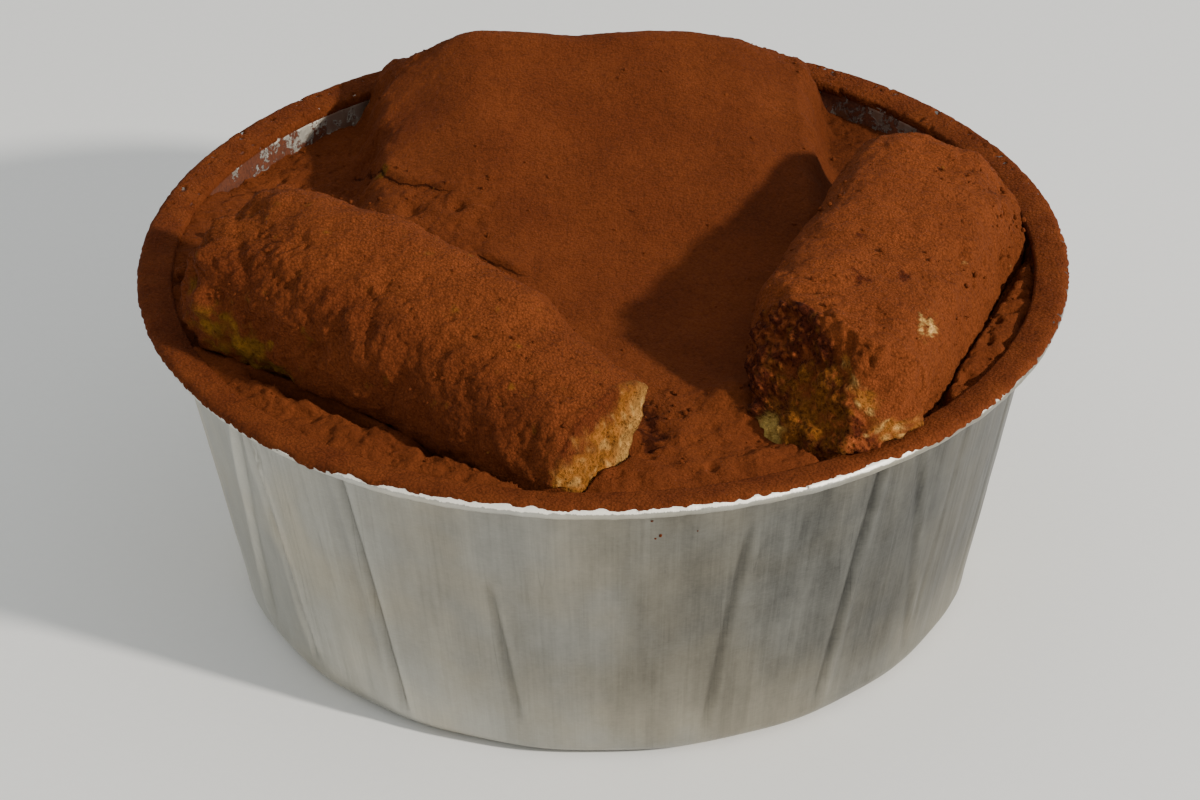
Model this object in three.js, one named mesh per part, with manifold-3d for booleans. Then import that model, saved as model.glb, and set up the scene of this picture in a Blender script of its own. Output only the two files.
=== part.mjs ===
// Tiramisu in a round aluminium-foil cup.
// Millimetres, +Z up. The origin is the middle of the cup's flat bottom.
// Four pieces: the foil cup, the cocoa-dusted cream that fills it, and two sponge biscuits
// that lie on the cream, each with one rounded end and one broken end.

import * as THREE from 'three';
import { mergeVertices } from 'three/addons/utils/BufferGeometryUtils.js';
import Module from 'manifold-3d';

const wasm = await Module();
wasm.setup();

const { clamp, degToRad, radToDeg, smoothstep } = THREE.MathUtils;

// ---- Driving dimensions ----

const CUP_STEPS = 72;        // flat faces round the cup
const CREAM_STEPS = 96;      // and round the cream
const CLEARANCE = 0.35;      // gap that touching pieces keep

// Foil cup
const RIM_RADIUS = 56;       // outer edge of the curled rim
const RIM_HEIGHT = 42.4;
const BEAD_RADIUS = 0.8;     // curl on the rim's edge
const WALL_BASE_RADIUS = 45.6;
const WALL_TOP_RADIUS = 52.6;
const WALL_TOP_HEIGHT = 40.9;
const CORNER_RADIUS = 3.6;   // bend from the bottom into the wall
const FOIL = 0.5;            // wall, thicker than real foil so that it is a sound solid
const FLUTE_COUNT = 18;      // shallow pressed hollows round the lower wall
const FLUTE_DEPTH = 0.2;
const FLUTE_HEIGHT = 34;

// Cream
const CREAM_LEVEL = 41.5;    // surface before the mound, just under the rim
const CREAM_RINGS = 24;      // rings of faces from the wall to the middle
const TROUGH_LEVEL = 38.5;   // sunk surface at the back, left and right of the mound
const TROUGHS = [            // start and end angles with their slopes, and the inner slope
  { from: [95, 118], to: [148, 164], inner: [29, 38] },
  { from: [18, 34], to: [62, 80], inner: [29, 38] },
];
const BANK = { height: 0.9, radius: 48.5, width: 3.2 };  // low bank along the front wall

// Mound: one even slope from its toe up to a ridge at the back
const TOE_Y = -7;
const RIDGE_Y = 38;
const RIDGE_HEIGHT = 52.2;
const TOE_SOFTNESS = 8;
const MOUND_LEFT = [-31.5, -25.5];
const MOUND_RIGHT = [24, 30];
const MOUND_BACK = [39, 51];
const MOUND_BACK_DROP = 0.85;

// Biscuits. The frame of each is its own: S runs along it, P is to the left of S, Q is up.
const SECTION_STEPS = 24;
const BISCUIT_LEFT = {
  centre: [-21.2, -28.5, 46.5],
  direction: -36.7,          // of S, in degrees from +X
  tilt: -0.12,               // rise of the middle line for each mm of S
  arch: -0.0042,             // and for each square mm
  halfWidth: 10.1,
  up: 9.2,
  down: 7,
  squareness: 2.7,           // exponent of the section, 2 is an ellipse
  roundEnd: -33,
  roundLength: 10,
  brokenEnd: { at: 26.6, skew: 0, slope: 0.22, leftFrom: 8.5, rightFrom: 7, leftCurve: 0.3, rightCurve: 0.12 },
  chip: { slope: 1.1, from: 0.4, lowest: -2 },  // lower left corner of the broken end, gone
};
const BISCUIT_RIGHT = {
  centre: [34.2, -12.7, 43.6],
  direction: 249.5,
  tilt: 0.035,
  arch: 0,
  halfWidth: 10.8,
  up: 9.3,
  down: 8,
  squareness: 2.6,
  roundEnd: -28,
  roundLength: 8,
  brokenEnd: { at: 23.8, skew: 0.51, slope: 0.72, leftFrom: 4, rightFrom: 7.5, leftCurve: 0.25, rightCurve: 0.2 },
  chip: { slope: 0, from: 0, lowest: 0 },
};

// ---- Materials ----

const FOIL_METAL = new THREE.MeshStandardMaterial({ color: 0xb9b7ae, roughness: 0.35, metalness: 1 });
const COCOA_CREAM = new THREE.MeshStandardMaterial({ color: 0x6d3a16, roughness: 0.95, metalness: 0 });
const COCOA_BISCUIT = new THREE.MeshStandardMaterial({ color: 0x7c431c, roughness: 0.95, metalness: 0 });

// ---- Helpers ----

/** Closed geometry to a manifold solid, turned so that its faces point outwards. */
function solid(geometry) {
  const bare = geometry.clone();
  bare.deleteAttribute('normal');
  bare.deleteAttribute('uv');
  const welded = mergeVertices(bare, 1e-4);
  const index = Array.from(welded.index.array);
  const triangles = [];
  for (let i = 0; i < index.length; i += 3) {
    const [a, b, c] = index.slice(i, i + 3);
    if (a !== b && b !== c && c !== a) triangles.push(a, b, c);
  }
  const make = (list) => new wasm.Manifold(new wasm.Mesh({
    numProp: 3,
    vertProperties: Float32Array.from(welded.attributes.position.array),
    triVerts: Uint32Array.from(list),
  }));
  const body = make(triangles);
  return body.volume() > 0 ? body : make(triangles.reverse());
}

/** The largest connected body of a solid, without loose scraps. */
function largest(body) {
  return body.decompose().reduce((best, piece) => (piece.volume() > best.volume() ? piece : best));
}

/** Manifold solid to a named mesh. */
function part(name, body, material) {
  const mesh = body.getMesh();
  const geometry = new THREE.BufferGeometry();
  geometry.setAttribute('position', new THREE.BufferAttribute(mesh.vertProperties, 3));
  geometry.setIndex(new THREE.BufferAttribute(mesh.triVerts, 1));
  geometry.computeVertexNormals();
  const result = new THREE.Mesh(geometry, material);
  result.name = name;
  return result;
}

/** Skin over rings of equally many points, closed by a point at each end. */
function loft(startPoint, rings, endPoint) {
  const count = rings[0].length;
  const positions = [startPoint, ...rings.flat(), endPoint].flatMap((p) => [p.x, p.y, p.z]);
  const last = rings.length * count + 1;
  const index = [];
  for (let k = 0; k < count; k += 1) {
    const next = (k + 1) % count;
    index.push(0, 1 + next, 1 + k);
    for (let ring = 0; ring < rings.length - 1; ring += 1) {
      const low = 1 + ring * count;
      const high = low + count;
      index.push(low + k, low + next, high + next, low + k, high + next, high + k);
    }
    index.push(last, last - count + k, last - count + next);
  }
  const geometry = new THREE.BufferGeometry();
  geometry.setAttribute('position', new THREE.Float32BufferAttribute(positions, 3));
  geometry.setIndex(index);
  return geometry;
}

/** Solid of revolution about +Z from [radius, height] pairs. */
function turned(profile, steps) {
  const points = profile.map(([radius, height]) => new THREE.Vector2(radius, height));
  return new THREE.LatheGeometry(points, steps).rotateX(Math.PI / 2);
}

/** Points of an arc in a profile, angles in degrees. */
function arc(centreRadius, centreHeight, radius, from, to, steps) {
  return Array.from({ length: steps + 1 }, (_, i) => {
    const angle = degToRad(from + ((to - from) * i) / steps);
    return [centreRadius + radius * Math.cos(angle), centreHeight + radius * Math.sin(angle)];
  });
}

// ---- Foil cup ----

/** Outer radius of the wall at a height, on its straight slope. */
function wallRadius(z) {
  const share = (z - CORNER_RADIUS) / (WALL_TOP_HEIGHT - CORNER_RADIUS);
  return WALL_BASE_RADIUS + (WALL_TOP_RADIUS - WALL_BASE_RADIUS) * share;
}

/** Radius of the inside of the cup at a height. */
function innerRadius(z) {
  return wallRadius(Math.min(z, WALL_TOP_HEIGHT)) - FOIL;
}

/** How far a flute presses the wall in, at an angle in radians and a height. */
function fluteDepth(angle, z) {
  const wave = 0.5 - 0.5 * Math.cos(FLUTE_COUNT * angle);
  return FLUTE_DEPTH * wave * (1 - smoothstep(z, 0, FLUTE_HEIGHT));
}

/** Moves the points of the wall in along the flutes. */
function pressFlutes(geometry) {
  const position = geometry.attributes.position;
  for (let i = 0; i < position.count; i += 1) {
    const [x, y, z] = [position.getX(i), position.getY(i), position.getZ(i)];
    const radius = Math.hypot(x, y);
    if (radius > WALL_BASE_RADIUS / 2) {
      const share = 1 - fluteDepth(Math.atan2(y, x), z) / radius;
      position.setXY(i, x * share, y * share);
    }
  }
  return geometry;
}

function foilCup() {
  const flat = WALL_BASE_RADIUS - CORNER_RADIUS;
  const beadCentre = RIM_RADIUS - BEAD_RADIUS;
  const beadHeight = RIM_HEIGHT - BEAD_RADIUS;
  const levels = [8, 16, 26, 36];
  const profile = [
    [0, 0],
    ...arc(flat, CORNER_RADIUS, CORNER_RADIUS, -90, 0, 3),
    ...levels.map((z) => [wallRadius(z), z]),
    [WALL_TOP_RADIUS, WALL_TOP_HEIGHT],
    ...arc(beadCentre, beadHeight, BEAD_RADIUS, -120, 90, 5),
    [WALL_TOP_RADIUS, RIM_HEIGHT - CLEARANCE],
    [innerRadius(WALL_TOP_HEIGHT), WALL_TOP_HEIGHT],
    ...levels.toReversed().map((z) => [innerRadius(z), z]),
    ...arc(flat, CORNER_RADIUS, CORNER_RADIUS - FOIL, 0, -90, 2),
    [0, FOIL],
  ];
  return solid(pressFlutes(turned(profile, CUP_STEPS)));
}

/** Ring that a biscuit is trimmed by, so that it stays clear of the wall and the rim. */
function trimRing() {
  const outside = RIM_RADIUS + 8;
  const top = RIM_HEIGHT + CLEARANCE;
  return solid(turned([
    [innerRadius(10) - CLEARANCE, 10],
    [outside, 10],
    [outside, top],
    [innerRadius(WALL_TOP_HEIGHT) + CLEARANCE, top],
    [innerRadius(WALL_TOP_HEIGHT) - CLEARANCE, WALL_TOP_HEIGHT - CLEARANCE],
    [innerRadius(10) - CLEARANCE, 10],
  ], CUP_STEPS));
}

// ---- Cream ----

/** Share of the full mound height at a point. */
function moundShare(x, y) {
  const ramp = (t) => Math.log1p(Math.exp(TOE_SOFTNESS * t)) / TOE_SOFTNESS;
  const front = (y - TOE_Y) / (RIDGE_Y - TOE_Y);
  const slope = y < RIDGE_Y ? ramp(front) / ramp(1) : 1 - MOUND_BACK_DROP * smoothstep(y, ...MOUND_BACK);
  const sides = smoothstep(x, ...MOUND_LEFT) * (1 - smoothstep(x, ...MOUND_RIGHT));
  const leftShoulder = 0.62 * (1 - smoothstep(x, -31, -15));
  const dip = 0.06 * Math.exp(-(((x + 3) / 6) ** 2));
  const rightShoulder = 0.22 * smoothstep(x, 8, 24) + 0.2 * smoothstep(x, 17, 25);
  return slope * sides * (1 - leftShoulder - dip - rightShoulder);
}

/** Height of the cream's surface at a point. */
function creamHeight(x, y) {
  const radius = Math.hypot(x, y);
  const angle = radToDeg(Math.atan2(y, x));
  const sunk = Math.max(...TROUGHS.map(({ from, to, inner }) => (
    smoothstep(angle, ...from) * (1 - smoothstep(angle, ...to)) * smoothstep(radius, ...inner)
  )));
  const alongFront = (1 - smoothstep(angle, -30, -8)) * smoothstep(angle, -178, -165);
  const bank = BANK.height * alongFront * Math.exp(-(((radius - BANK.radius) / BANK.width) ** 2));
  const base = CREAM_LEVEL + (TROUGH_LEVEL - CREAM_LEVEL) * sunk + bank;
  const mound = (RIDGE_HEIGHT - CREAM_LEVEL) * moundShare(x, y);
  return base + mound + (CREAM_LEVEL - base) * clamp(mound / 3, 0, 1);
}

function cream() {
  const angles = Array.from({ length: CREAM_STEPS }, (_, k) => (2 * Math.PI * k) / CREAM_STEPS);
  const bottom = FOIL + CLEARANCE;
  const fit = (angle, z) => innerRadius(z) - CLEARANCE - fluteDepth(angle, z);
  const ringAt = (z, inset) => angles.map((angle) => {
    const radius = fit(angle, z) - inset;
    return new THREE.Vector3(radius * Math.cos(angle), radius * Math.sin(angle), z);
  });
  const heightAt = (angle, radius) => creamHeight(radius * Math.cos(angle), radius * Math.sin(angle));
  const surfaceRing = (share) => angles.map((angle) => {
    const edge = fit(angle, heightAt(angle, fit(angle, CREAM_LEVEL)));
    const radius = edge * share;
    return new THREE.Vector3(radius * Math.cos(angle), radius * Math.sin(angle), heightAt(angle, radius));
  });
  const shares = Array.from({ length: CREAM_RINGS }, (_, i) => 1 - i / CREAM_RINGS);
  const rings = [
    ringAt(bottom, CORNER_RADIUS),
    ringAt(CORNER_RADIUS, 0),
    ringAt(15, 0),
    ringAt(27, 0),
    ...shares.map(surfaceRing),
  ];
  const low = new THREE.Vector3(0, 0, bottom);
  const high = new THREE.Vector3(0, 0, creamHeight(0, 0));
  return solid(loft(low, rings, high));
}

// ---- Biscuits ----

/** Point of a biscuit's section: half width and half height scaled by the section's curve. */
function sectionPoint({ halfWidth, up, down, squareness }, angle, scale, grow) {
  const curve = (value) => Math.sign(value) * Math.abs(value) ** (2 / squareness);
  const rise = Math.sin(angle) > 0 ? up : down;
  return {
    p: (halfWidth * scale + grow) * curve(Math.cos(angle)),
    q: (rise * scale + grow) * curve(Math.sin(angle)),
  };
}

/** Where the broken end is along S, at a point of the section. */
function brokenAt({ up, brokenEnd, chip }, p, q) {
  const { at, skew, slope, leftFrom, rightFrom, leftCurve, rightCurve } = brokenEnd;
  const left = leftCurve * Math.max(0, p - leftFrom) ** 2;
  const right = rightCurve * Math.max(0, -p - rightFrom) ** 2;
  const chipped = chip.slope * Math.max(0, p - Math.max(q, chip.lowest) - chip.from);
  return at + skew * p + slope * (up - q) - left - right - chipped;
}

/** A biscuit, grown on all sides where it makes room for itself in the cream. */
function biscuit(spec, grow) {
  const { centre, direction, tilt, arch, roundEnd, roundLength } = spec;
  const along = new THREE.Vector3(Math.cos(degToRad(direction)), Math.sin(degToRad(direction)), 0);
  const across = new THREE.Vector3(-along.y, along.x, 0);
  const place = (s, p, q) => new THREE.Vector3(...centre)
    .addScaledVector(along, s)
    .addScaledVector(across, p)
    .add(new THREE.Vector3(0, 0, q + tilt * s + arch * s * s));
  const angles = Array.from({ length: SECTION_STEPS }, (_, k) => (2 * Math.PI * k) / SECTION_STEPS);
  const section = (scale) => angles.map((angle) => sectionPoint(spec, angle, scale, grow));
  const roundRings = [0.12, 0.3, 0.5, 0.72, 1].map((turn) => {
    const distance = roundLength * (1 - Math.cos((turn * Math.PI) / 2));
    const scale = (1 - (1 - distance / roundLength) ** 2.4) ** (1 / 2.4);
    return section(scale).map(({ p, q }) => place(roundEnd - grow * (1 - turn) + distance, p, q));
  });
  const full = section(1);
  const bodyStart = roundEnd + roundLength;
  const bodyRings = [1, 2, 3, 4, 5, 6].map((step) => full.map(({ p, q }) => {
    const end = brokenAt(spec, p, q) + grow;
    return place(bodyStart + ((end - bodyStart) * step) / 6, p, q);
  }));
  const faceRings = [0.8, 0.55, 0.28].map((share) => full.map(({ p, q }) => (
    place(brokenAt(spec, p * share, q * share) + grow, p * share, q * share)
  )));
  const tip = place(roundEnd - grow, 0, 0);
  return solid(loft(tip, [...roundRings, ...bodyRings, ...faceRings], place(brokenAt(spec, 0, 0) + grow, 0, 0)));
}

// ---- Assembly ----

const ring = trimRing();
const specs = [BISCUIT_LEFT, BISCUIT_RIGHT];
const filling = specs.reduce((body, spec) => body.subtract(biscuit(spec, CLEARANCE)), cream());
const [left, right] = specs.map((spec) => largest(biscuit(spec, 0).subtract(ring)));

const tiramisu = new THREE.Group();
tiramisu.add(part('foil_cup', foilCup(), FOIL_METAL));
tiramisu.add(part('cream_filling', largest(filling), COCOA_CREAM));
tiramisu.add(part('biscuit_left', left, COCOA_BISCUIT));
tiramisu.add(part('biscuit_right', right, COCOA_BISCUIT));

export default tiramisu;
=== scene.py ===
"""Looks of a tiramisu in a round foil cup.

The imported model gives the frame: a foil cup, the cream that fills it and two sponge biscuits.
Each of them is replaced by a finely modelled piece of the same form. Cocoa powder on the rim, loose
clumps of cocoa and crumbs are added. Forms are worked out in millimetres and finished in metres.
"""

import logging
import math
import random
from dataclasses import dataclass
from enum import Enum
from typing import Any, Callable, List, Mapping, Optional, Sequence, Tuple

import bmesh
import bpy
from mathutils import Matrix, Vector, noise


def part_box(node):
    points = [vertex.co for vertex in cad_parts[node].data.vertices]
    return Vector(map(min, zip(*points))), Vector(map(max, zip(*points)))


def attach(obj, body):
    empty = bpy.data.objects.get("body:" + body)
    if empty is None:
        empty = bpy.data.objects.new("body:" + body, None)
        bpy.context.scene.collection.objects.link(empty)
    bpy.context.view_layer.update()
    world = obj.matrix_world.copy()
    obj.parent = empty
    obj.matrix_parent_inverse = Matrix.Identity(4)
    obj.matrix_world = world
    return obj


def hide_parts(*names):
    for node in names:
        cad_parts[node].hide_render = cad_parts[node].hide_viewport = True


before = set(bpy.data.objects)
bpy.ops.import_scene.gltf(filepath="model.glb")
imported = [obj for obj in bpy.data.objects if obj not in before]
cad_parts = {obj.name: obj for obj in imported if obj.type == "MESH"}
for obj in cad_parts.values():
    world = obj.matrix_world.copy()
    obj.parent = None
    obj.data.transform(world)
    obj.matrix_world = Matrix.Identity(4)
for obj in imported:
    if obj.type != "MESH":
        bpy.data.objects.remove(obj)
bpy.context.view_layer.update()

LOG = logging.getLogger("tiramisu")
MM = 0.001
Colour = Tuple[float, float, float, float]
Place = Tuple[float, float, float]
Socket = bpy.types.NodeSocket


# ---------------------------------------------------------------- small formulas


def smooth(low: float, high: float, value: float) -> float:
    """Smooth step from 0 at low to 1 at high."""
    share = min(max((value - low) / (high - low), 0.0), 1.0)
    return share * share * (3.0 - 2.0 * share)


def window(low: float, high: float, soft: float, value: float) -> float:
    """1 between low and high, falling smoothly to 0 over a soft edge outside them."""
    return smooth(low - soft, low, value) * (1.0 - smooth(high, high + soft, value))


def bell(distance: float, width: float) -> float:
    """Bell curve of height 1 with a given width."""
    return math.exp(-((distance / width) ** 2))


def mix(first: float, second: float, share: float) -> float:
    """Straight blend of two numbers."""
    return first + (second - first) * share


def polar(point: Vector) -> Tuple[float, float]:
    """Distance from the cup's axis, and angle round it in radians."""
    return math.hypot(point.x, point.y), math.atan2(point.y, point.x)


def turned(radius: float, angle: float, height: float = 0.0) -> Vector:
    """Point at a distance from the cup's axis, an angle in radians and a height."""
    return Vector((radius * math.cos(angle), radius * math.sin(angle), height))


def spot_at(x: float, y: float, size: float) -> float:
    """Round bell-shaped spot of a size, at offsets x and y from its middle."""
    return bell(math.hypot(x, y), size)


def ripple(point: Vector, size: float, seed: float = 0.0) -> float:
    """Smooth noise from about -1 to 1 with lumps of a size in millimetres."""
    return noise.noise(point / size + Vector((seed, -2.3 * seed, 1.7 * seed)))


def crumble(point: Vector, size: float, seed: float = 0.0) -> float:
    """Rough noise of several sizes, from about -1 to 1, with its largest lumps in millimetres."""
    return noise.fractal(point / size + Vector((seed, -1.3 * seed, 0.7 * seed)), 0.75, 2.1, 4)


def hollows(point: Vector, size: float, share: float, seed: float = 0.0) -> float:
    """Depth from 0 to 1 of round hollows in a share of the cells of a size in millimetres.

    Args:
        point: where.
        size: width of a cell.
        share: share of the cells that have a hollow.
        seed: picks the pattern.

    Returns:
        The depth.
    """
    distances, centres = noise.voronoi(point / size + Vector((seed, seed, -seed)))
    if noise.cell(centres[0] * 17.3) * 0.5 + 0.5 > share:
        return 0.0
    return 1.0 - smooth(0.12, 0.42, distances[0])


def srgb(red: int, green: int, blue: int) -> Colour:
    """Linear colour from 8-bit screen values."""

    def linear(value: int) -> float:
        """Linear level of one 8-bit value."""
        level = value / 255
        return level / 12.92 if level <= 0.04045 else ((level + 0.055) / 1.055) ** 2.4

    return (linear(red), linear(green), linear(blue), 1.0)


def blend(first: Colour, second: Colour, share: float) -> Colour:
    """Blend of two colours."""
    share = min(max(share, 0.0), 1.0)
    return tuple(mix(a, b, share) for a, b in zip(first, second))


def lit(colour: Colour, factor: float) -> Colour:
    """A colour made lighter or darker."""
    return (colour[0] * factor, colour[1] * factor, colour[2] * factor, 1.0)


class Tone(Enum):
    """Colours of the food and the foil."""

    COCOA = srgb(115, 58, 28)
    COCOA_DEEP = srgb(81, 35, 18)
    CRUMB_GOLD = srgb(138, 85, 35)
    CRUMB_PALE = srgb(206, 164, 94)
    CRUMB_SOAKED = srgb(108, 63, 22)
    CRUMB_OLIVE = srgb(112, 78, 22)
    CREAM = srgb(172, 142, 74)
    FOIL = srgb(182, 181, 173)
    FOIL_WARM = srgb(186, 180, 164)
    FOIL_PAINTED_HIGHLIGHT = srgb(252, 245, 228)
    CLOTH = srgb(246, 244, 239)


def cocoa(depth: float) -> Colour:
    """Cocoa, from its usual tone at 0 to its deep tone at 1."""
    return blend(Tone.COCOA.value, Tone.COCOA_DEEP.value, depth)


def linked(name: str, data: bpy.types.ID) -> bpy.types.Object:
    """Adds an object to the scene."""
    thing = bpy.data.objects.new(name, data)
    bpy.context.scene.collection.objects.link(thing)
    return thing


# ---------------------------------------------------------------- material graph


class Value:
    """A number in a material's graph, with the arithmetic that the finishes use."""

    def __init__(self, graph: "Graph", socket: Socket) -> None:
        """Wraps an output socket."""
        self.graph = graph
        self.socket = socket

    def __add__(self, other: Any) -> "Value":
        """self + other."""
        return self.graph.math("ADD", self, other)

    def __sub__(self, other: Any) -> "Value":
        """self - other."""
        return self.graph.math("SUBTRACT", self, other)

    def __rsub__(self, other: Any) -> "Value":
        """other - self."""
        return self.graph.math("SUBTRACT", other, self)

    def __mul__(self, other: Any) -> "Value":
        """self * other."""
        return self.graph.math("MULTIPLY", self, other)

    __radd__ = __add__
    __rmul__ = __mul__

    def step(self, low: float, high: float) -> "Value":
        """Smooth step from 0 at low to 1 at high."""
        settings = {"interpolation_type": "SMOOTHSTEP"}
        node = self.graph.node("ShaderNodeMapRange", settings, {0: self, 1: low, 2: high})
        return Value(self.graph, node.outputs[0])


class Graph:
    """A material's node tree, filled by short calls."""

    def __init__(self, name: str) -> None:
        """Starts an empty material."""
        self.material = bpy.data.materials.new(name)
        self.material.use_nodes = True
        self.tree = self.material.node_tree
        self.tree.nodes.clear()

    def node(self, kind: str, settings: Mapping[str, Any], inputs: Mapping[Any, Any]) -> bpy.types.Node:
        """Adds one node.

        Args:
            kind: the node's type.
            settings: its properties, set before its sockets.
            inputs: numbers, colours, sockets or Values for its sockets, by name or place.

        Returns:
            The node.
        """
        node = self.tree.nodes.new(kind)
        for name, setting in settings.items():
            setattr(node, name, setting)
        for key, given in inputs.items():
            socket = node.inputs[key]
            if isinstance(given, Value):
                given = given.socket
            if isinstance(given, Socket):
                self.tree.links.new(given, socket)
            else:
                socket.default_value = given
        return node

    def math(self, operation: str, first: Any, second: Any) -> Value:
        """Arithmetic on two numbers or Values."""
        node = self.node("ShaderNodeMath", {"operation": operation}, {0: first, 1: second})
        return Value(self, node.outputs[0])

    def unsigned(self, value: Value) -> Value:
        """A number without its sign."""
        return self.math("ABSOLUTE", value, 0.0)

    def colour(self, factor: Any, first: Any, second: Any) -> Socket:
        """Mix of two colours by a factor."""
        return self.node("ShaderNodeMix", {"data_type": "RGBA"}, {0: factor, 6: first, 7: second}).outputs[2]

    def vector(self, operation: str, first: Any, second: Any = (0.0, 0.0, 0.0)) -> Socket:
        """Arithmetic on vectors."""
        node = self.node("ShaderNodeVectorMath", {"operation": operation}, {0: first, 1: second})
        return node.outputs[0]

    def scaled(self, vector: Any, factor: Any) -> Socket:
        """A vector or colour times a number."""
        node = self.node("ShaderNodeVectorMath", {"operation": "SCALE"}, {0: vector, "Scale": factor})
        return node.outputs[0]

    def along(self, vector: Any, heading: Place) -> Value:
        """How far a vector reaches along a heading."""
        node = self.node("ShaderNodeVectorMath", {"operation": "DOT_PRODUCT"}, {0: vector, 1: heading})
        return Value(self, node.outputs["Value"])

    def part(self, vector: Any, axis: int) -> Value:
        """One of the three numbers of a vector or colour."""
        return Value(self, self.node("ShaderNodeSeparateXYZ", {}, {0: vector}).outputs[axis])

    def place(self) -> Socket:
        """Place on the object, in metres."""
        return self.node("ShaderNodeTexCoord", {}, {}).outputs["Object"]

    def noise(self, place: Any, size: float, detail: float = 2.0, rough: float = 0.5) -> Value:
        """Noise from 0 to 1 with lumps of a size in millimetres.

        Args:
            place: the place that it is read at.
            size: width of a lump.
            detail: how many finer layers.
            rough: how strong the finer layers are.

        Returns:
            The noise.
        """
        inputs = {"Vector": place, "Scale": 1.0 / (size * MM), "Detail": detail, "Roughness": rough}
        return Value(self, self.node("ShaderNodeTexNoise", {}, inputs).outputs[0])

    def cells(self, place: Any, size: float) -> Value:
        """Distance to the nearest of scattered points that stand a size in millimetres apart."""
        inputs = {"Vector": place, "Scale": 1.0 / (size * MM)}
        return Value(self, self.node("ShaderNodeTexVoronoi", {}, inputs).outputs["Distance"])

    def tint(self) -> Socket:
        """Colour painted on the piece's points."""
        return self.node("ShaderNodeAttribute", {"attribute_name": "tint"}, {}).outputs["Color"]

    def painted(self, name: str) -> Value:
        """Number painted on the piece's points."""
        return Value(self, self.node("ShaderNodeAttribute", {"attribute_name": name}, {}).outputs["Fac"])

    def bump(self, height: Value, depth: float, below: Any = None) -> Socket:
        """Bump of a depth in millimetres, on top of another normal if there is one.

        Args:
            height: the relief.
            depth: its depth.
            below: the normal under it.

        Returns:
            The new normal.
        """
        inputs = {"Height": height, "Distance": depth * MM, "Strength": 1.0}
        if below is not None:
            inputs["Normal"] = below
        return self.node("ShaderNodeBump", {}, inputs).outputs[0]

    def surface(self, inputs: Mapping[Any, Any]) -> bpy.types.Material:
        """Ends the graph in one Principled surface."""
        shader = self.node("ShaderNodeBsdfPrincipled", {}, inputs)
        self.node("ShaderNodeOutputMaterial", {}, {"Surface": shader.outputs[0]})
        return self.material


@dataclass(frozen=True)
class PowderFinish:
    """Cocoa powder over cream or sponge, with bare crumb where the piece is painted so and painted shade
    along open cracks.

    Sizes are in millimetres: grain and pore are widths, depth is the bump's. Contrast and fine say how
    much light and dark the grains and the powder between them have, granular how far the grains stand
    out and torn how rough the bare crumb is.
    """

    name: str
    grain: float = 0.36
    contrast: float = 0.45
    granular: float = 0.8
    fine: float = 0.8
    depth: float = 0.24
    pore: float = 0.55
    torn: float = 1.0
    clod: float = 1.15
    patch: float = 6.0
    warp_size: float = 0.9
    warp: float = 0.7

    def material(self) -> bpy.types.Material:
        """Builds the material."""
        graph = Graph(self.name)
        place = graph.place()
        crumb = graph.painted("crumb")
        grains = graph.cells(place, self.grain)
        fine = graph.noise(place, self.grain * 0.5, 3.0, 0.75)
        clods = graph.noise(place, self.clod, 4.0, 0.7)
        patches = graph.noise(place, self.patch, 3.0, 0.6)
        shifts = graph.node("ShaderNodeTexNoise", {}, {"Vector": place, "Scale": 1.0 / (self.warp_size * MM)})
        warped = graph.vector("ADD", place, graph.scaled(shifts.outputs["Color"], self.warp * MM))
        pores = graph.cells(warped, self.pore)
        split = graph.painted("split") + 0.35 * (clods - 0.5)
        # Painted shade: a thin dark line along open cracks, which also lowers the bump.
        gap = graph.painted("parted") * (1.0 - (graph.unsigned(split) + 0.12 * (fine - 0.5)).step(0.03, 0.15))
        powder = self.contrast * (0.5 - grains) + 0.6 * (clods - 0.5)
        powder = powder + 0.35 * (patches - 0.5) + self.fine * (fine - 0.5)
        sponge = 0.9 * (pores - 0.42) + 1.0 * (clods - 0.5) + 1.7 * (fine - 0.5)
        tone = (1.03 + powder * (1.0 - crumb) + self.torn * sponge * crumb) * (1.0 - 0.7 * gap)
        dry = self.granular * (1.0 - grains) + 1.2 * clods + 0.9 * fine
        open_pores = self.torn * (0.8 * pores.step(0.05, 0.6) + 1.8 * clods + 1.0 * fine)
        height = dry * (1.0 - crumb) + open_pores * crumb - 0.8 * gap
        return graph.surface({
            "Base Color": graph.scaled(graph.tint(), tone),
            "Roughness": 0.96 - 0.22 * crumb,
            "Specular IOR Level": 0.05,
            "Diffuse Roughness": 1.0,
            "Normal": graph.bump(height, self.depth),
        })


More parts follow.
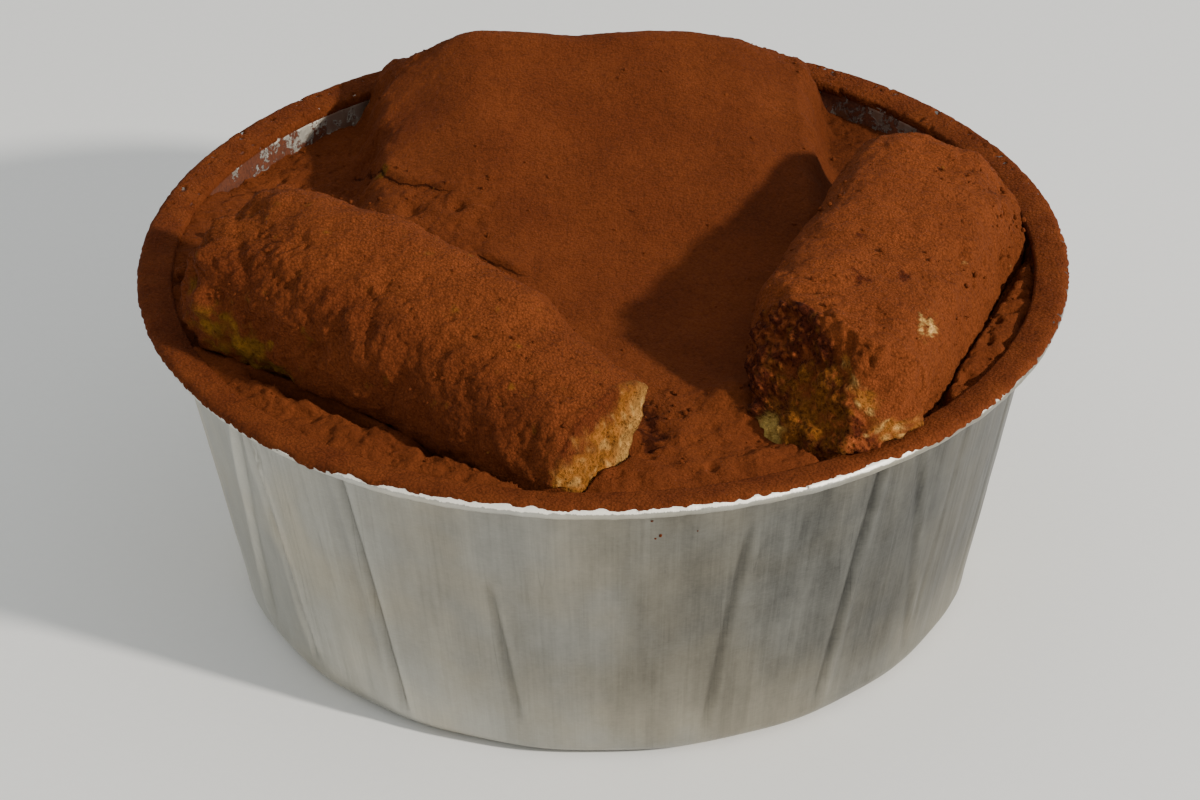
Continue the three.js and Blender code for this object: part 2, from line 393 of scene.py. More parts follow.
@dataclass(frozen=True)
class FoilFinish:
    """Rolled aluminium foil with fine upright streaks, thin scratches, dull smears and cocoa dust.

    Its sizes are in millimetres, its heights in metres. Painted shade darkens the side towards the shade
    heading and painted light brightens the side opposite it; a painted highlight lies on the front of the
    rim's bead, towards the highlight heading. The lower wall and the bead under the highlight are painted
    lighter, as reflections, and the creases get painted shade with painted light beside them.
    """

    name: str
    streak: float = 0.5
    band: float = 3.8
    smear: float = 7.0
    spot: float = 2.6
    plate: float = 6.0
    speck: float = 0.8
    floor_reflection_until: float = 0.015
    painted_bead_light_from: float = 0.0406
    rim_from: float = 0.04174
    painted_shade_heading: Place = (16.0, -11.0, 0.0)
    painted_highlight_heading: Place = (0.0, -20.0, 0.0)

    def material(self) -> bpy.types.Material:
        """Builds the material."""
        graph = Graph(self.name)
        place = graph.place()
        flat = graph.vector("MULTIPLY", place, (1.0, 1.0, 0.0))
        heading = graph.scaled(graph.vector("NORMALIZE", flat), 0.05)

        def drawn(share: float) -> Socket:
            """Place on the wall with its height scaled, so that what lies there is drawn out upwards."""
            return graph.vector("ADD", heading, graph.vector("MULTIPLY", place, (0.0, 0.0, share)))

        streaks = graph.noise(drawn(0.03), self.streak, 3.0, 0.65)
        bands = graph.noise(drawn(0.12), self.band, 3.0, 0.5)
        smears = graph.noise(drawn(0.5), self.smear, 4.0, 0.6)
        mottle = graph.noise(drawn(0.7), self.spot, 4.0, 0.7)
        lines = graph.noise(drawn(0.05), 2.4, 1.0, 0.5)
        breaks = graph.noise(drawn(0.22), 4.0, 2.0).step(0.5, 0.66)
        scratches = (1.0 - graph.unsigned(lines - 0.5).step(0.002, 0.012)) * breaks
        rolled = graph.noise(graph.vector("MULTIPLY", place, (1.0, 1.0, 3.5)), 0.8, 4.0, 0.7)
        plates = graph.node("ShaderNodeTexVoronoi", {"feature": "SMOOTH_F1"}, {
            "Vector": drawn(0.30), "Scale": 1.0 / (self.plate * MM), "Smoothness": 0.7})
        facets = graph.part(plates.outputs["Color"], 0)

        tall = graph.part(place, 2)
        # Painted reflection of the floor: the lower wall is lightened.
        low = 1.0 - tall.step(0.001, self.floor_reflection_until)
        rolled_edge = tall + 0.0007 * (graph.noise(heading, 0.9, 3.0, 0.75) - 0.5)
        rim = rolled_edge.step(self.rim_from, self.rim_from + 0.00014)
        # Painted light: the bead under the highlight is lightened.
        painted_bead_light = tall.step(self.painted_bead_light_from, self.painted_bead_light_from + 0.0003) * (1.0 - rim)
        # Painted highlight: the front of the rim's bead turns warm white and hardly metallic.
        painted_highlight = 0.95 * rim * graph.along(heading, self.painted_highlight_heading).step(0.35, 0.8)
        # Painted shade on the side towards the shade heading, painted light on the side opposite it.
        shade = 0.71 + 0.26 * low + 0.40 * painted_bead_light - 0.45 * graph.along(heading, self.painted_shade_heading)
        # Painted shade along the creases, with painted light beside them.
        shade = shade - 0.06 * scratches - 0.34 * graph.painted("fold")
        for pattern, weight in (
            (streaks, 0.20), (bands, 0.20), (smears, 0.24), (mottle, 0.24), (facets, 0.11), (rolled, 0.16),
        ):
            shade = shade + weight * (pattern - 0.5)

        specks = graph.noise(place, self.speck, 4.0, 0.7)
        powder = (graph.painted("dust") + 0.9 * (specks - 0.5)).step(0.46, 0.58)
        warmth = graph.noise(place, 16.0, 3.0).step(0.35, 0.65)
        metal = graph.colour(warmth, Tone.FOIL.value, Tone.FOIL_WARM.value)
        grained = 0.25 + 0.75 * specks + 0.35 * (0.5 - graph.cells(place, 0.36))
        bare = graph.colour(painted_highlight, graph.scaled(metal, shade), Tone.FOIL_PAINTED_HIGHLIGHT.value)
        normal = graph.bump(streaks * 0.7 + bands, 0.10)
        for height, depth in ((rolled, 0.03), (scratches, 0.02), (powder * specks, 0.25)):
            normal = graph.bump(height, depth, normal)
        return graph.surface({
            "Base Color": graph.colour(powder, bare, graph.scaled(Tone.COCOA.value[:3], grained)),
            "Metallic": (1.0 - powder) * (1.0 - 0.85 * painted_highlight),
            "Roughness": 0.24 + 0.22 * smears + 0.08 * streaks + 0.12 * mottle + 0.5 * powder,
            "Normal": normal,
        })


@dataclass(frozen=True)
class ClothFinish:
    """Plain pale floor."""

    name: str

    def material(self) -> bpy.types.Material:
        """Builds the material."""
        graph = Graph(self.name)
        weave = graph.noise(graph.place(), 1.2, 2.0)
        tone = 0.985 + 0.03 * weave
        return graph.surface({"Base Color": graph.scaled(Tone.CLOTH.value[:3], tone), "Roughness": 0.9})


# ---------------------------------------------------------------- modelling


@dataclass
class Paint:
    """What one point of a piece looks like.

    Crumb is the share of bare sponge, dust that of cocoa on foil, split the distance to a crack in
    millimetres, parted how far the crack is open, which the powder paints as a dark line of shade, and fold
    how deep a crease in the foil is, which the foil paints as shade with painted light beside it.
    """

    tint: Colour = Tone.COCOA.value
    crumb: float = 0.0
    dust: float = 0.0
    split: float = 5.0
    parted: float = 0.0
    fold: float = 0.0


class Clay:
    """A mesh in millimetres on its way to a finished piece."""

    def __init__(self, name: str) -> None:
        """Starts an empty mesh."""
        self.name = name
        self.bm = bmesh.new()

    def move(self, mover: Callable[[Vector], Vector]) -> None:
        """Puts every point where the mover says."""
        for vert in self.bm.verts:
            vert.co = mover(vert.co)

    def push(self, relief: Callable[[Vector, Vector], float]) -> None:
        """Pushes every point along its normal by the relief at its place."""
        self.bm.normal_update()
        pushes = [relief(vert.co, vert.normal) for vert in self.bm.verts]
        for vert, amount in zip(self.bm.verts, pushes):
            vert.co += vert.normal * amount

    def paint(self, painter: Callable[[Vector, Vector], Paint]) -> None:
        """Stores what the painter says as colours and numbers on the points.

        Args:
            painter: says the paint for a place and a normal.
        """
        layers = {"tint": self.bm.verts.layers.float_color.new("tint")}
        for name in ("crumb", "dust", "split", "parted", "fold"):
            layers[name] = self.bm.verts.layers.float.new(name)
        self.bm.normal_update()
        for vert in self.bm.verts:
            paint = painter(vert.co, vert.normal)
            for name, layer in layers.items():
                vert[layer] = getattr(paint, name)

    def open_edges(self) -> List[bmesh.types.BMEdge]:
        """Edges with a face on one side only."""
        return [edge for edge in self.bm.edges if edge.is_boundary]

    def outwards(self) -> None:
        """Turns all faces outwards."""
        bmesh.ops.recalc_face_normals(self.bm, faces=self.bm.faces)

    def spin(self, section: Sequence[Tuple[float, float]], steps: int) -> None:
        """Spins a section round the cup's axis.

        Args:
            section: its points, each a radius and a height.
            steps: how many stretches the full turn has.
        """
        verts = [self.bm.verts.new((radius, 0.0, height)) for radius, height in section]
        edges = [self.bm.edges.new(pair) for pair in zip(verts, verts[1:])]
        bmesh.ops.spin(
            self.bm, geom=verts + edges, cent=(0, 0, 0), axis=(0, 0, 1), dvec=(0, 0, 0),
            angle=2 * math.pi, steps=steps, use_merge=True, use_duplicate=False,
        )
        bmesh.ops.remove_doubles(self.bm, verts=self.bm.verts, dist=1e-4)
        self.outwards()

    def finish(self, material: bpy.types.Material, slot: str, node: Optional[str] = None) -> bpy.types.Object:
        """Turns the mesh into an object in metres that rides on the part.

        Args:
            material: its finish.
            slot: not used.
            node: the CAD node that it stands for, if any.

        Returns:
            The object.
        """
        bmesh.ops.scale(self.bm, vec=(MM, MM, MM), verts=self.bm.verts)
        for face in self.bm.faces:
            face.smooth = True
        mesh = bpy.data.meshes.new(self.name)
        self.bm.to_mesh(mesh)
        self.bm.free()
        mesh.materials.append(material)
        piece = linked(self.name, mesh)
        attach(piece, "root")
        if node is not None:
            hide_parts(node)
        LOG.info("%s: %d points, %d faces", self.name, len(mesh.vertices), len(mesh.polygons))
        return piece


# ---------------------------------------------------------------- forms


@dataclass(frozen=True)
class Crease:
    """A fold in the foil from an upper to a lower place, each an angle in degrees and a height."""

    top: Tuple[float, float]
    low: Tuple[float, float]
    depth: float
    width: float

    def relief(self, angle: float, z: float, radius: float) -> float:
        """How far the fold presses the wall in.

        Args:
            angle: place round the cup, in degrees.
            z: height.
            radius: the wall's radius there.

        Returns:
            The distance inwards.
        """
        if abs(angle - self.top[0]) > 14.0:
            return 0.0
        share = (self.top[1] - z) / (self.top[1] - self.low[1])
        middle = mix(self.top[0], self.low[0], share)
        across = (angle - middle) * math.radians(1.0) * radius
        fold = bell(across, self.width) - 0.45 * bell(across - 1.6 * self.width, self.width)
        return self.depth * fold * window(0.0, 1.0, 0.10, share)


@dataclass(frozen=True)
class CupForm:
    """Form of the foil cup, in millimetres, from its CAD box."""

    rim_radius: float
    rim_height: float
    bead: float = 0.8
    corner: float = 3.6
    foil: float = 0.5
    flutes: int = 18
    flute_depth: float = 0.2
    flute_height: float = 34.0
    base_inset: float = 10.4
    wall_inset: float = 3.4
    wall_drop: float = 1.5
    waves: Tuple[Tuple[float, float, float, float], ...] = (
        (0.15, 0.22, 7.0, 1.0),
        (0.10, 0.22, 2.6, 2.0),
        (0.035, 0.05, 1.1, 3.0),
        (0.03, 1.0, 1.8, 8.0),
    )
    creases: Tuple[Crease, ...] = (
        Crease((-125.9, 39.5), (-122.0, 5.0), 0.72, 0.72),
        Crease((-128.4, 39.0), (-125.4, 12.0), 0.22, 0.9),
        Crease((-105.6, 26.0), (-103.2, 7.0), 0.40, 0.55),
        Crease((-143.9, 38.5), (-139.8, 7.0), 0.60, 0.65),
        Crease((-146.3, 38.5), (-152.8, 6.0), -0.50, 0.7),
        Crease((-142.5, 37.4), (-141.4, 33.6), 0.45, 0.4),
        Crease((-133.0, 38.0), (-131.2, 18.0), 0.08, 0.45),
        Crease((-129.5, 38.0), (-128.4, 22.0), 0.07, 0.4),
        Crease((-117.5, 37.0), (-114.0, 20.0), 0.07, 0.5),
        Crease((-71.8, 33.0), (-75.5, 6.0), 0.36, 0.6),
        Crease((-52.9, 38.0), (-57.0, 5.0), 0.40, 0.6),
        Crease((-46.2, 38.0), (-39.7, 6.0), 0.22, 0.7),
        Crease((-62.0, 34.0), (-64.4, 12.0), 0.07, 0.5),
        Crease((-36.0, 36.0), (-38.5, 9.0), 0.10, 0.6),
        Crease((-20.0, 36.0), (-22.0, 6.0), 0.14, 0.7),
        Crease((14.0, 37.0), (18.0, 8.0), 0.16, 0.7),
        Crease((52.0, 38.0), (49.0, 6.0), 0.15, 0.7),
        Crease((88.0, 36.0), (91.0, 10.0), 0.16, 0.6),
        Crease((127.0, 38.0), (123.0, 6.0), 0.18, 0.7),
        Crease((163.0, 37.0), (166.0, 7.0), 0.15, 0.7),
    )

    @classmethod
    def from_frame(cls) -> "CupForm":
        """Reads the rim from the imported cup."""
        _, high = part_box("foil_cup")
        return cls(rim_radius=high.x / MM, rim_height=high.z / MM)

    @property
    def base_radius(self) -> float:
        """Outer radius where the wall starts."""
        return self.rim_radius - self.base_inset

    @property
    def top_radius(self) -> float:
        """Outer radius where the wall turns into the flange."""
        return self.rim_radius - self.wall_inset

    @property
    def top_height(self) -> float:
        """Height of the wall's top."""
        return self.rim_height - self.wall_drop

    def outer(self, z: float) -> float:
        """Outer radius of the wall at a height."""
        share = (z - self.corner) / (self.top_height - self.corner)
        return mix(self.base_radius, self.top_radius, share)

    def inner(self, z: float) -> float:
        """Inner radius of the wall at a height."""
        return self.outer(min(z, self.top_height)) - self.foil

    def pressed(self, angle: float, z: float) -> float:
        """How far flutes, creases and waves press the wall in.

        Args:
            angle: the place round the cup, in radians.
            z: the height.

        Returns:
            The distance inwards. A wave has a height, a share of z that draws it out, a size and a seed.
        """
        flute = self.flute_depth * (0.5 - 0.5 * math.cos(self.flutes * angle))
        flute *= 1.0 - smooth(0.0, self.flute_height, z)
        wall = smooth(0.5, 6.0, z) * (1.0 - smooth(38.8, 40.8, z))
        if wall <= 0.0:
            return flute
        waves = sum(
            height * ripple(turned(50.0, angle, z * share), size, seed)
            for height, share, size, seed in self.waves
        )
        return flute + wall * (self.folded(angle, z) - waves)

    def folded(self, angle: float, z: float) -> float:
        """How far the creases alone press the wall in."""
        degrees, radius = math.degrees(angle), self.outer(z)
        return sum(crease.relief(degrees, z, radius) for crease in self.creases)


@dataclass(frozen=True)
class Bulge:
    """A stretch of a biscuit's skin that stands out, or is broken away where its height is negative."""

    height: float
    angle: float
    spread: float
    start: float
    end: float

    def relief(self, angle: float, s: float) -> float:
        """How far the skin stands out, at an angle in radians round the section and a place along it."""
        aside = (math.degrees(angle) - self.angle + 180.0) % 360.0 - 180.0
        return self.height * bell(aside, self.spread) * window(self.start, self.end, 6.0, s)


@dataclass(frozen=True)
class BiscuitForm:
    """Form of a biscuit. S runs along it, P is across, Q is up from its middle line."""

    centre: Place
    direction: float
    tilt: float
    arch: float
    half_width: float
    up: float
    down: float
    square: float
    round_end: float
    round_length: float
    broken_at: float
    skew: float
    slope: float
    left_from: float
    right_from: float
    left_curve: float
    right_curve: float
    chip: float = 0.0
    bulges: Tuple[Bulge, ...] = ()
    bare_from: float = math.inf
    sunk: float = 41.3
    end_square: float = 2.4

    @property
    def along(self) -> Vector:
        """Level direction of S."""
        return turned(1.0, math.radians(self.direction))

    @property
    def across(self) -> Vector:
        """Level direction of P."""
        return Vector((-self.along.y, self.along.x, 0.0))

    def rise(self, s: float) -> float:
        """Height of the middle line."""
        return self.centre[2] + self.tilt * s + self.arch * s * s

    def place(self, s: float, p: float, q: float) -> Vector:
        """Point in the part's frame."""
        level = Vector((self.centre[0], self.centre[1], 0.0)) + s * self.along + p * self.across
        return level + Vector((0.0, 0.0, self.rise(s) + q))

    def local(self, point: Vector) -> Place:
        """S, P and Q of a point."""
        offset = Vector((point.x - self.centre[0], point.y - self.centre[1], 0.0))
        s = offset.dot(self.along)
        return s, offset.dot(self.across), point.z - self.rise(s)

    def outline(self, angle: float, s: float) -> float:
        """Distance from the middle line to the skin, at an angle round the section and a place along it.

        Args:
            angle: place round the section, in radians.
            s: place along the biscuit.

        Returns:
            The distance.
        """
        height = self.up if math.sin(angle) > 0 else self.down
        wide = abs(math.cos(angle) / self.half_width) ** self.square
        tall = abs(math.sin(angle) / height) ** self.square
        reach = (wide + tall) ** (-1.0 / self.square)
        for bulge in self.bulges:
            reach += bulge.relief(angle, s)
        return reach

    def broken(self, p: float, q: float) -> float:
        """Where along S the broken end is, with its lower left corner broken away by a chip.

        Args:
            p: place across.
            q: height over the middle line.

        Returns:
            The place along the biscuit.
        """
        chipped = self.chip * max(0.0, p - max(q, -2.0) - 0.4)
        left = self.left_curve * max(0.0, p - self.left_from) ** 2
        right = self.right_curve * max(0.0, -p - self.right_from) ** 2
        return self.broken_at + self.skew * p + self.slope * (self.up - q) - left - right - chipped

    def underside(self, point: Vector) -> Optional[float]:
        """Height of the biscuit's underside over a point.

        Args:
            point: a point of the cream.

        Returns:
            The height, or None beside the biscuit and where its right side is broken away.
        """
        s, p, _ = self.local(point)
        across = abs(p) / self.half_width
        if across >= 1.0 or s < self.round_end or s > self.broken(p, self.sunk - self.rise(s)):
            return None
        if s > self.bare_from and p < 5.0 - self.half_width:
            return None
        room = 1.0 - across ** self.square
        depth = room ** (1.0 / self.square)
        into = min(1.0, (s - self.round_end) / self.round_length)
        depth *= (1.0 - (1.0 - into) ** self.end_square) ** (1.0 / self.end_square)
        return self.rise(s) - self.down * depth


LEFT_BISCUIT = BiscuitForm(
    centre=(-21.2, -28.5, 46.5), direction=-36.7, tilt=-0.12, arch=-0.0042,
    half_width=10.1, up=9.2, down=7.0, square=2.7, round_end=-33.0, round_length=10.0,
    broken_at=26.6, skew=0.0, slope=0.22, left_from=8.5, right_from=7.0, left_curve=0.3, right_curve=0.12,
    chip=1.1, bulges=(Bulge(2.3, 56.0, 38.0, -26.0, 12.0),),
)
RIGHT_BISCUIT = BiscuitForm(
    centre=(34.2, -12.7, 43.6), direction=249.5, tilt=0.035, arch=0.0,
    half_width=10.8, up=9.3, down=8.0, square=2.6, round_end=-28.0, round_length=8.0,
    broken_at=23.8, skew=0.51, slope=0.72, left_from=4.0, right_from=7.5, left_curve=0.25, right_curve=0.2,
    bulges=(Bulge(2.2, 150.0, 38.0, -24.0, 26.0), Bulge(-3.4, 208.0, 22.0, 20.0, 100.0)), bare_from=16.0,
)


@dataclass(frozen=True)
class Crack:
    """A split in the cream along a chain of points, lower on its right side, with a lip on its left."""

    chain: Tuple[Tuple[float, float], ...]
    width: float
    depth: float
    drop: float
    drop_reach: float
    lip: float
    lip_reach: float

    def nearest(self, point: Vector) -> Place:
        """Where a point lies beside the shaky chain.

        Args:
            point: a point of the cream.

        Returns:
            Distance to the chain, side, positive on its right, and way along it to its nearer end.
        """
        x = point.x + 0.5 * ripple(point, 2.0, 4.0)
        y = point.y + 0.5 * ripple(point, 2.0, 5.0)
        best, side, way, passed = 1e9, 1.0, 0.0, 0.0
        for (ax, ay), (bx, by) in zip(self.chain, self.chain[1:]):
            dx, dy = bx - ax, by - ay
            length = math.hypot(dx, dy)
            share = min(max(((x - ax) * dx + (y - ay) * dy) / length ** 2, 0.0), 1.0)
            ox, oy = x - ax - share * dx, y - ay - share * dy
            distance = math.hypot(ox, oy)
            if distance < best:
                best, way = distance, passed + share * length
                side = 1.0 if dx * oy - dy * ox < 0 else -1.0
            passed += length
        return best, side, min(way, passed - way)

    def relief(self, point: Vector) -> float:
        """Height that the split adds at a point.

        Args:
            point: a point of the cream.

        Returns:
            The height.
        """
        distance, side, way = self.nearest(point)
        if distance > 9.0:
            return 0.0
        cut = self.depth * bell(distance, self.width) * smooth(0.0, 1.5, way)
        low = -self.drop * (1.0 - smooth(0.0, self.drop_reach, distance))
        high = self.lip * (1.0 - smooth(0.0, self.lip_reach, distance))
        return mix(high, low, smooth(-0.55, 0.45, side * distance)) * smooth(0.0, 2.4, way) - cut


@dataclass(frozen=True)
class Trough:
    """A sunk stretch of cream along the wall, between two angles in degrees."""

    level: float
    starts: Tuple[float, float]
    ends: Tuple[float, float]
    inner: Tuple[float, float] = (29.0, 38.0)

    def share(self, angle: float, radius: float) -> float:
        """How far the cream is sunk."""
        return smooth(*self.starts, angle) * (1.0 - smooth(*self.ends, angle)) * smooth(*self.inner, radius)


@dataclass(frozen=True)
class Dent:
    """A round hollow, or a bump where its depth is negative."""

    x: float
    y: float
    depth: float
    size: float

    def relief(self, point: Vector) -> float:
        """Height that the dent takes away at a point."""
        return self.depth * bell(math.hypot(point.x - self.x, point.y - self.y), self.size)


@dataclass(frozen=True)
class CreamForm:
    """Height of the cream's surface, in millimetres."""

    cup: CupForm
    biscuits: Tuple[BiscuitForm, ...]
    troughs: Tuple[Trough, ...] = (
        Trough(38.5, (95.0, 118.0), (148.0, 164.0)),
        Trough(38.5, (18.0, 34.0), (62.0, 80.0)),
    )
    toe: float = -7.0
    ridge: float = 38.0
    ridge_height: float = 52.2
    toe_softness: float = 8.0
    cracks: Tuple[Crack, ...] = (
        Crack(
            chain=((-31.5, 27.5), (-29.4, 23.0), (-27.0, 17.4), (-25.1, 15.4), (-23.0, 13.8), (-20.3, 12.0),
                   (-17.6, 10.4)),
            width=0.4, depth=0.2, drop=0.3, drop_reach=6.0, lip=0.2, lip_reach=2.5,
        ),
        Crack(
            chain=((-15.6, -0.8), (-14.6, -2.0), (-12.4, -3.7), (-10.6, -5.1), (-9.1, -6.0)),
            width=0.4, depth=0.25, drop=0.2, drop_reach=2.0, lip=0.6, lip_reach=4.0,
        ),
        Crack(
            chain=((2.4, 7.4), (3.2, 6.8), (4.2, 5.9)),
            width=0.35, depth=0.15, drop=0.0, drop_reach=1.0, lip=0.1, lip_reach=1.2,
        ),
    )
    dents: Tuple[Dent, ...] = (
        Dent(-23.3, 8.6, 0.9, 1.3), Dent(-17.6, 8.0, 0.8, 1.0), Dent(18.0, -40.4, 0.4, 2.4),
        Dent(21.4, -44.2, 0.4, 1.9), Dent(6.4, -38.6, 0.35, 1.6), Dent(4.6, -43.6, 0.4, 1.1),
        Dent(12.0, -47.0, 0.6, 0.8), Dent(9.6, -48.6, 0.4, 1.0), Dent(14.2, -31.2, -1.5, 2.6),
        Dent(16.4, -35.6, -0.8, 1.8), Dent(2.6, -39.8, -1.3, 2.0),
    )

    @property
    def level(self) -> float:
        """Surface before the mound."""
        return self.cup.rim_height - 0.9

    def mound(self, x: float, y: float) -> float:
        """Share of the full mound height at a point.

        Args:
            x: the place across.
            y: the place towards the mound.

        Returns:
            The share.
        """

        def ramp(share: float) -> float:
            """Straight slope with a soft foot."""
            return math.log1p(math.exp(self.toe_softness * share)) / self.toe_softness

        front = (y - self.toe) / (self.ridge - self.toe)
        back = 1.0 - 0.85 * smooth(self.ridge + 1.0, self.ridge + 13.0, y)
        slope = ramp(front) / ramp(1.0) if y < self.ridge else back
        sway = 0.5 * math.sin(y * 0.45) + 0.35 * math.sin(y * 1.1 + 1.0)
        sides = smooth(-31.6, -26.6, x + sway) * (1.0 - smooth(24.6, 29.2, x + 0.6 * sway))
        left_shoulder = 0.62 * (1.0 - smooth(-31.0, -15.0, x))
        dip = 0.06 * bell(x + 3.0, 6.0)
        right_shoulder = 0.22 * smooth(8.0, 24.0, x) + 0.20 * smooth(17.0, 25.0, x)
        return slope * sides * (1.0 - left_shoulder - dip - right_shoulder)

    def base(self, x: float, y: float) -> float:
        """Surface without the mound: level, with a sunk trough on each side at the back.

        Args:
            x: the place across.
            y: the place towards the mound.

        Returns:
            The height.
        """
        radius = math.hypot(x, y)
        angle = math.degrees(math.atan2(y, x))
        surface = self.level
        for trough in self.troughs:
            surface -= (self.level - trough.level) * trough.share(angle, radius)
        front = (1.0 - smooth(-30.0, -8.0, angle)) * smooth(-178.0, -165.0, angle)
        return surface + 0.9 * front * bell(radius - 48.5, 3.2)

    def beside_face(self, point: Vector) -> float:
        """Share of the crumbly hollow to the right of the left biscuit's broken end, where painted shade is
        laid.
        """
        aside = point.x - 5.3 + 1.1 * ripple(point, 1.5, 12.0)
        return bell(aside, 1.6) * window(-42.0, -32.5, 2.0, point.y)

    def seams(self, point: Vector) -> float:
        """Depth of the crevices beside the biscuits and of the groove at the right wall.

        Args:
            point: a point of the cream.

        Returns:
            The depth.
        """
        left, right = self.biscuits
        s, p, _ = left.local(point)
        open_left = window(-15.0, -1.0, 4.0, s) + window(9.0, 19.0, 3.0, s)
        wander = 0.5 * ripple(point, 4.0, 8.0) + 0.25 * ripple(point, 1.6, 9.0)
        crevice = 3.4 * open_left * bell(p + left.half_width - 0.5 + 1.3 * wander, 0.85)
        torn = 0.5 * self.beside_face(point) * max(0.0, 0.3 + crumble(point, 1.2, 13.0))
        s, p, _ = right.local(point)
        beside = 2.4 * window(-19.0, 20.0, 3.0, s) * bell(p - right.half_width + 0.1 + 0.5 * wander, 0.5)
        broken_up = smooth(-0.2, 0.4, crumble(point, 3.0, 10.0))
        second = 1.1 * broken_up * window(-14.0, 16.0, 3.0, s)
        second *= bell(p - right.half_width - 2.0 + 1.9 * wander, 0.55)
        radius, angle = polar(point)
        groove = 1.8 * (0.5 + 0.5 * broken_up) * window(-31.0, 1.0, 6.0, math.degrees(angle))
        groove *= smooth(50.6, 51.5, radius + 0.4 * wander)
        return max(crevice, torn, beside, second, groove)

    def rough(self, point: Vector) -> float:
        """How crumbly the surface is: calm on the mound, rough at its foot, wall and by the biscuits.

        Args:
            point: a point of the cream.

        Returns:
            From 0.45 where it is calm to about 2.
        """
        radius, _ = polar(point)
        right = self.biscuits[1]
        _, across_right, _ = right.local(point)
        low_left = smooth(-24.0, -29.0, point.x) * window(6.0, 46.0, 4.0, point.y)
        under_left = window(-31.0, -14.0, 2.0, point.x) * window(-6.0, 12.0, 3.0, point.y)
        front = smooth(-26.0, -32.0, point.y)
        wall = smooth(42.0, 48.0, radius)
        strip = smooth(right.half_width - 1.0, right.half_width + 1.0, across_right)
        face = 1.3 * self.beside_face(point)
        return 0.45 + max(low_left, 0.9 * under_left, 0.8 * front, 0.95 * wall, 1.1 * strip, face)

    def height(self, x: float, y: float) -> float:
        """Height of the finished surface.

        Args:
            x: the place across.
            y: the place towards the mound.

        Returns:
            The height, which stays below the biscuits.
        """
        point = Vector((x, y, 0.0))
        base = self.base(x, y)
        mound = (self.ridge_height - self.level) * self.mound(x, y)
        surface = base + mound + (self.level - base) * min(max(mound / 3.0, 0.0), 1.0)
        surface += sum(crack.relief(point) for crack in self.cracks)
        surface -= sum(dent.relief(point) for dent in self.dents)
        rough = self.rough(point)
        surface += 0.3 * ripple(point, 11.0, 1.0) + 0.16 * ripple(point, 4.2, 2.0)
        radius = math.hypot(x, y)
        bank = smooth(-8.0, -20.0, y) * smooth(2.0, -6.0, x)
        bank *= smooth(38.0, 44.0, radius) * (1.0 - smooth(50.0, 51.6, radius))
        surface += (0.26 + 0.40 * bank) * (rough - 0.45) * crumble(point, 3.4, 7.0)
        surface -= self.seams(point)
        for biscuit in self.biscuits:
            under = biscuit.underside(point)
            if under is not None:
                surface = min(surface, under - 0.25)
        return surface


# ---------------------------------------------------------------- pieces


def cocoa_relief(point: Vector, rough: float) -> float:
    """Relief of dusted cocoa, in millimetres: fine clumps, and pits where it is rough.

    Args:
        point: where.
        rough: how crumbly the surface is there.

    Returns:
        The height to add.
    """
    fine = 0.07 * ripple(point, 1.25, 5.0) + 0.06 * ripple(point, 0.8, 6.0)
    clods = crumble(point, 2.3, 11.0)
    pits = 0.35 * max(0.0, clods - 0.2) - 0.30 * smooth(-0.1, -0.75, clods)
    return fine * (0.6 + 0.6 * rough) + pits * max(0.0, rough - 0.35)


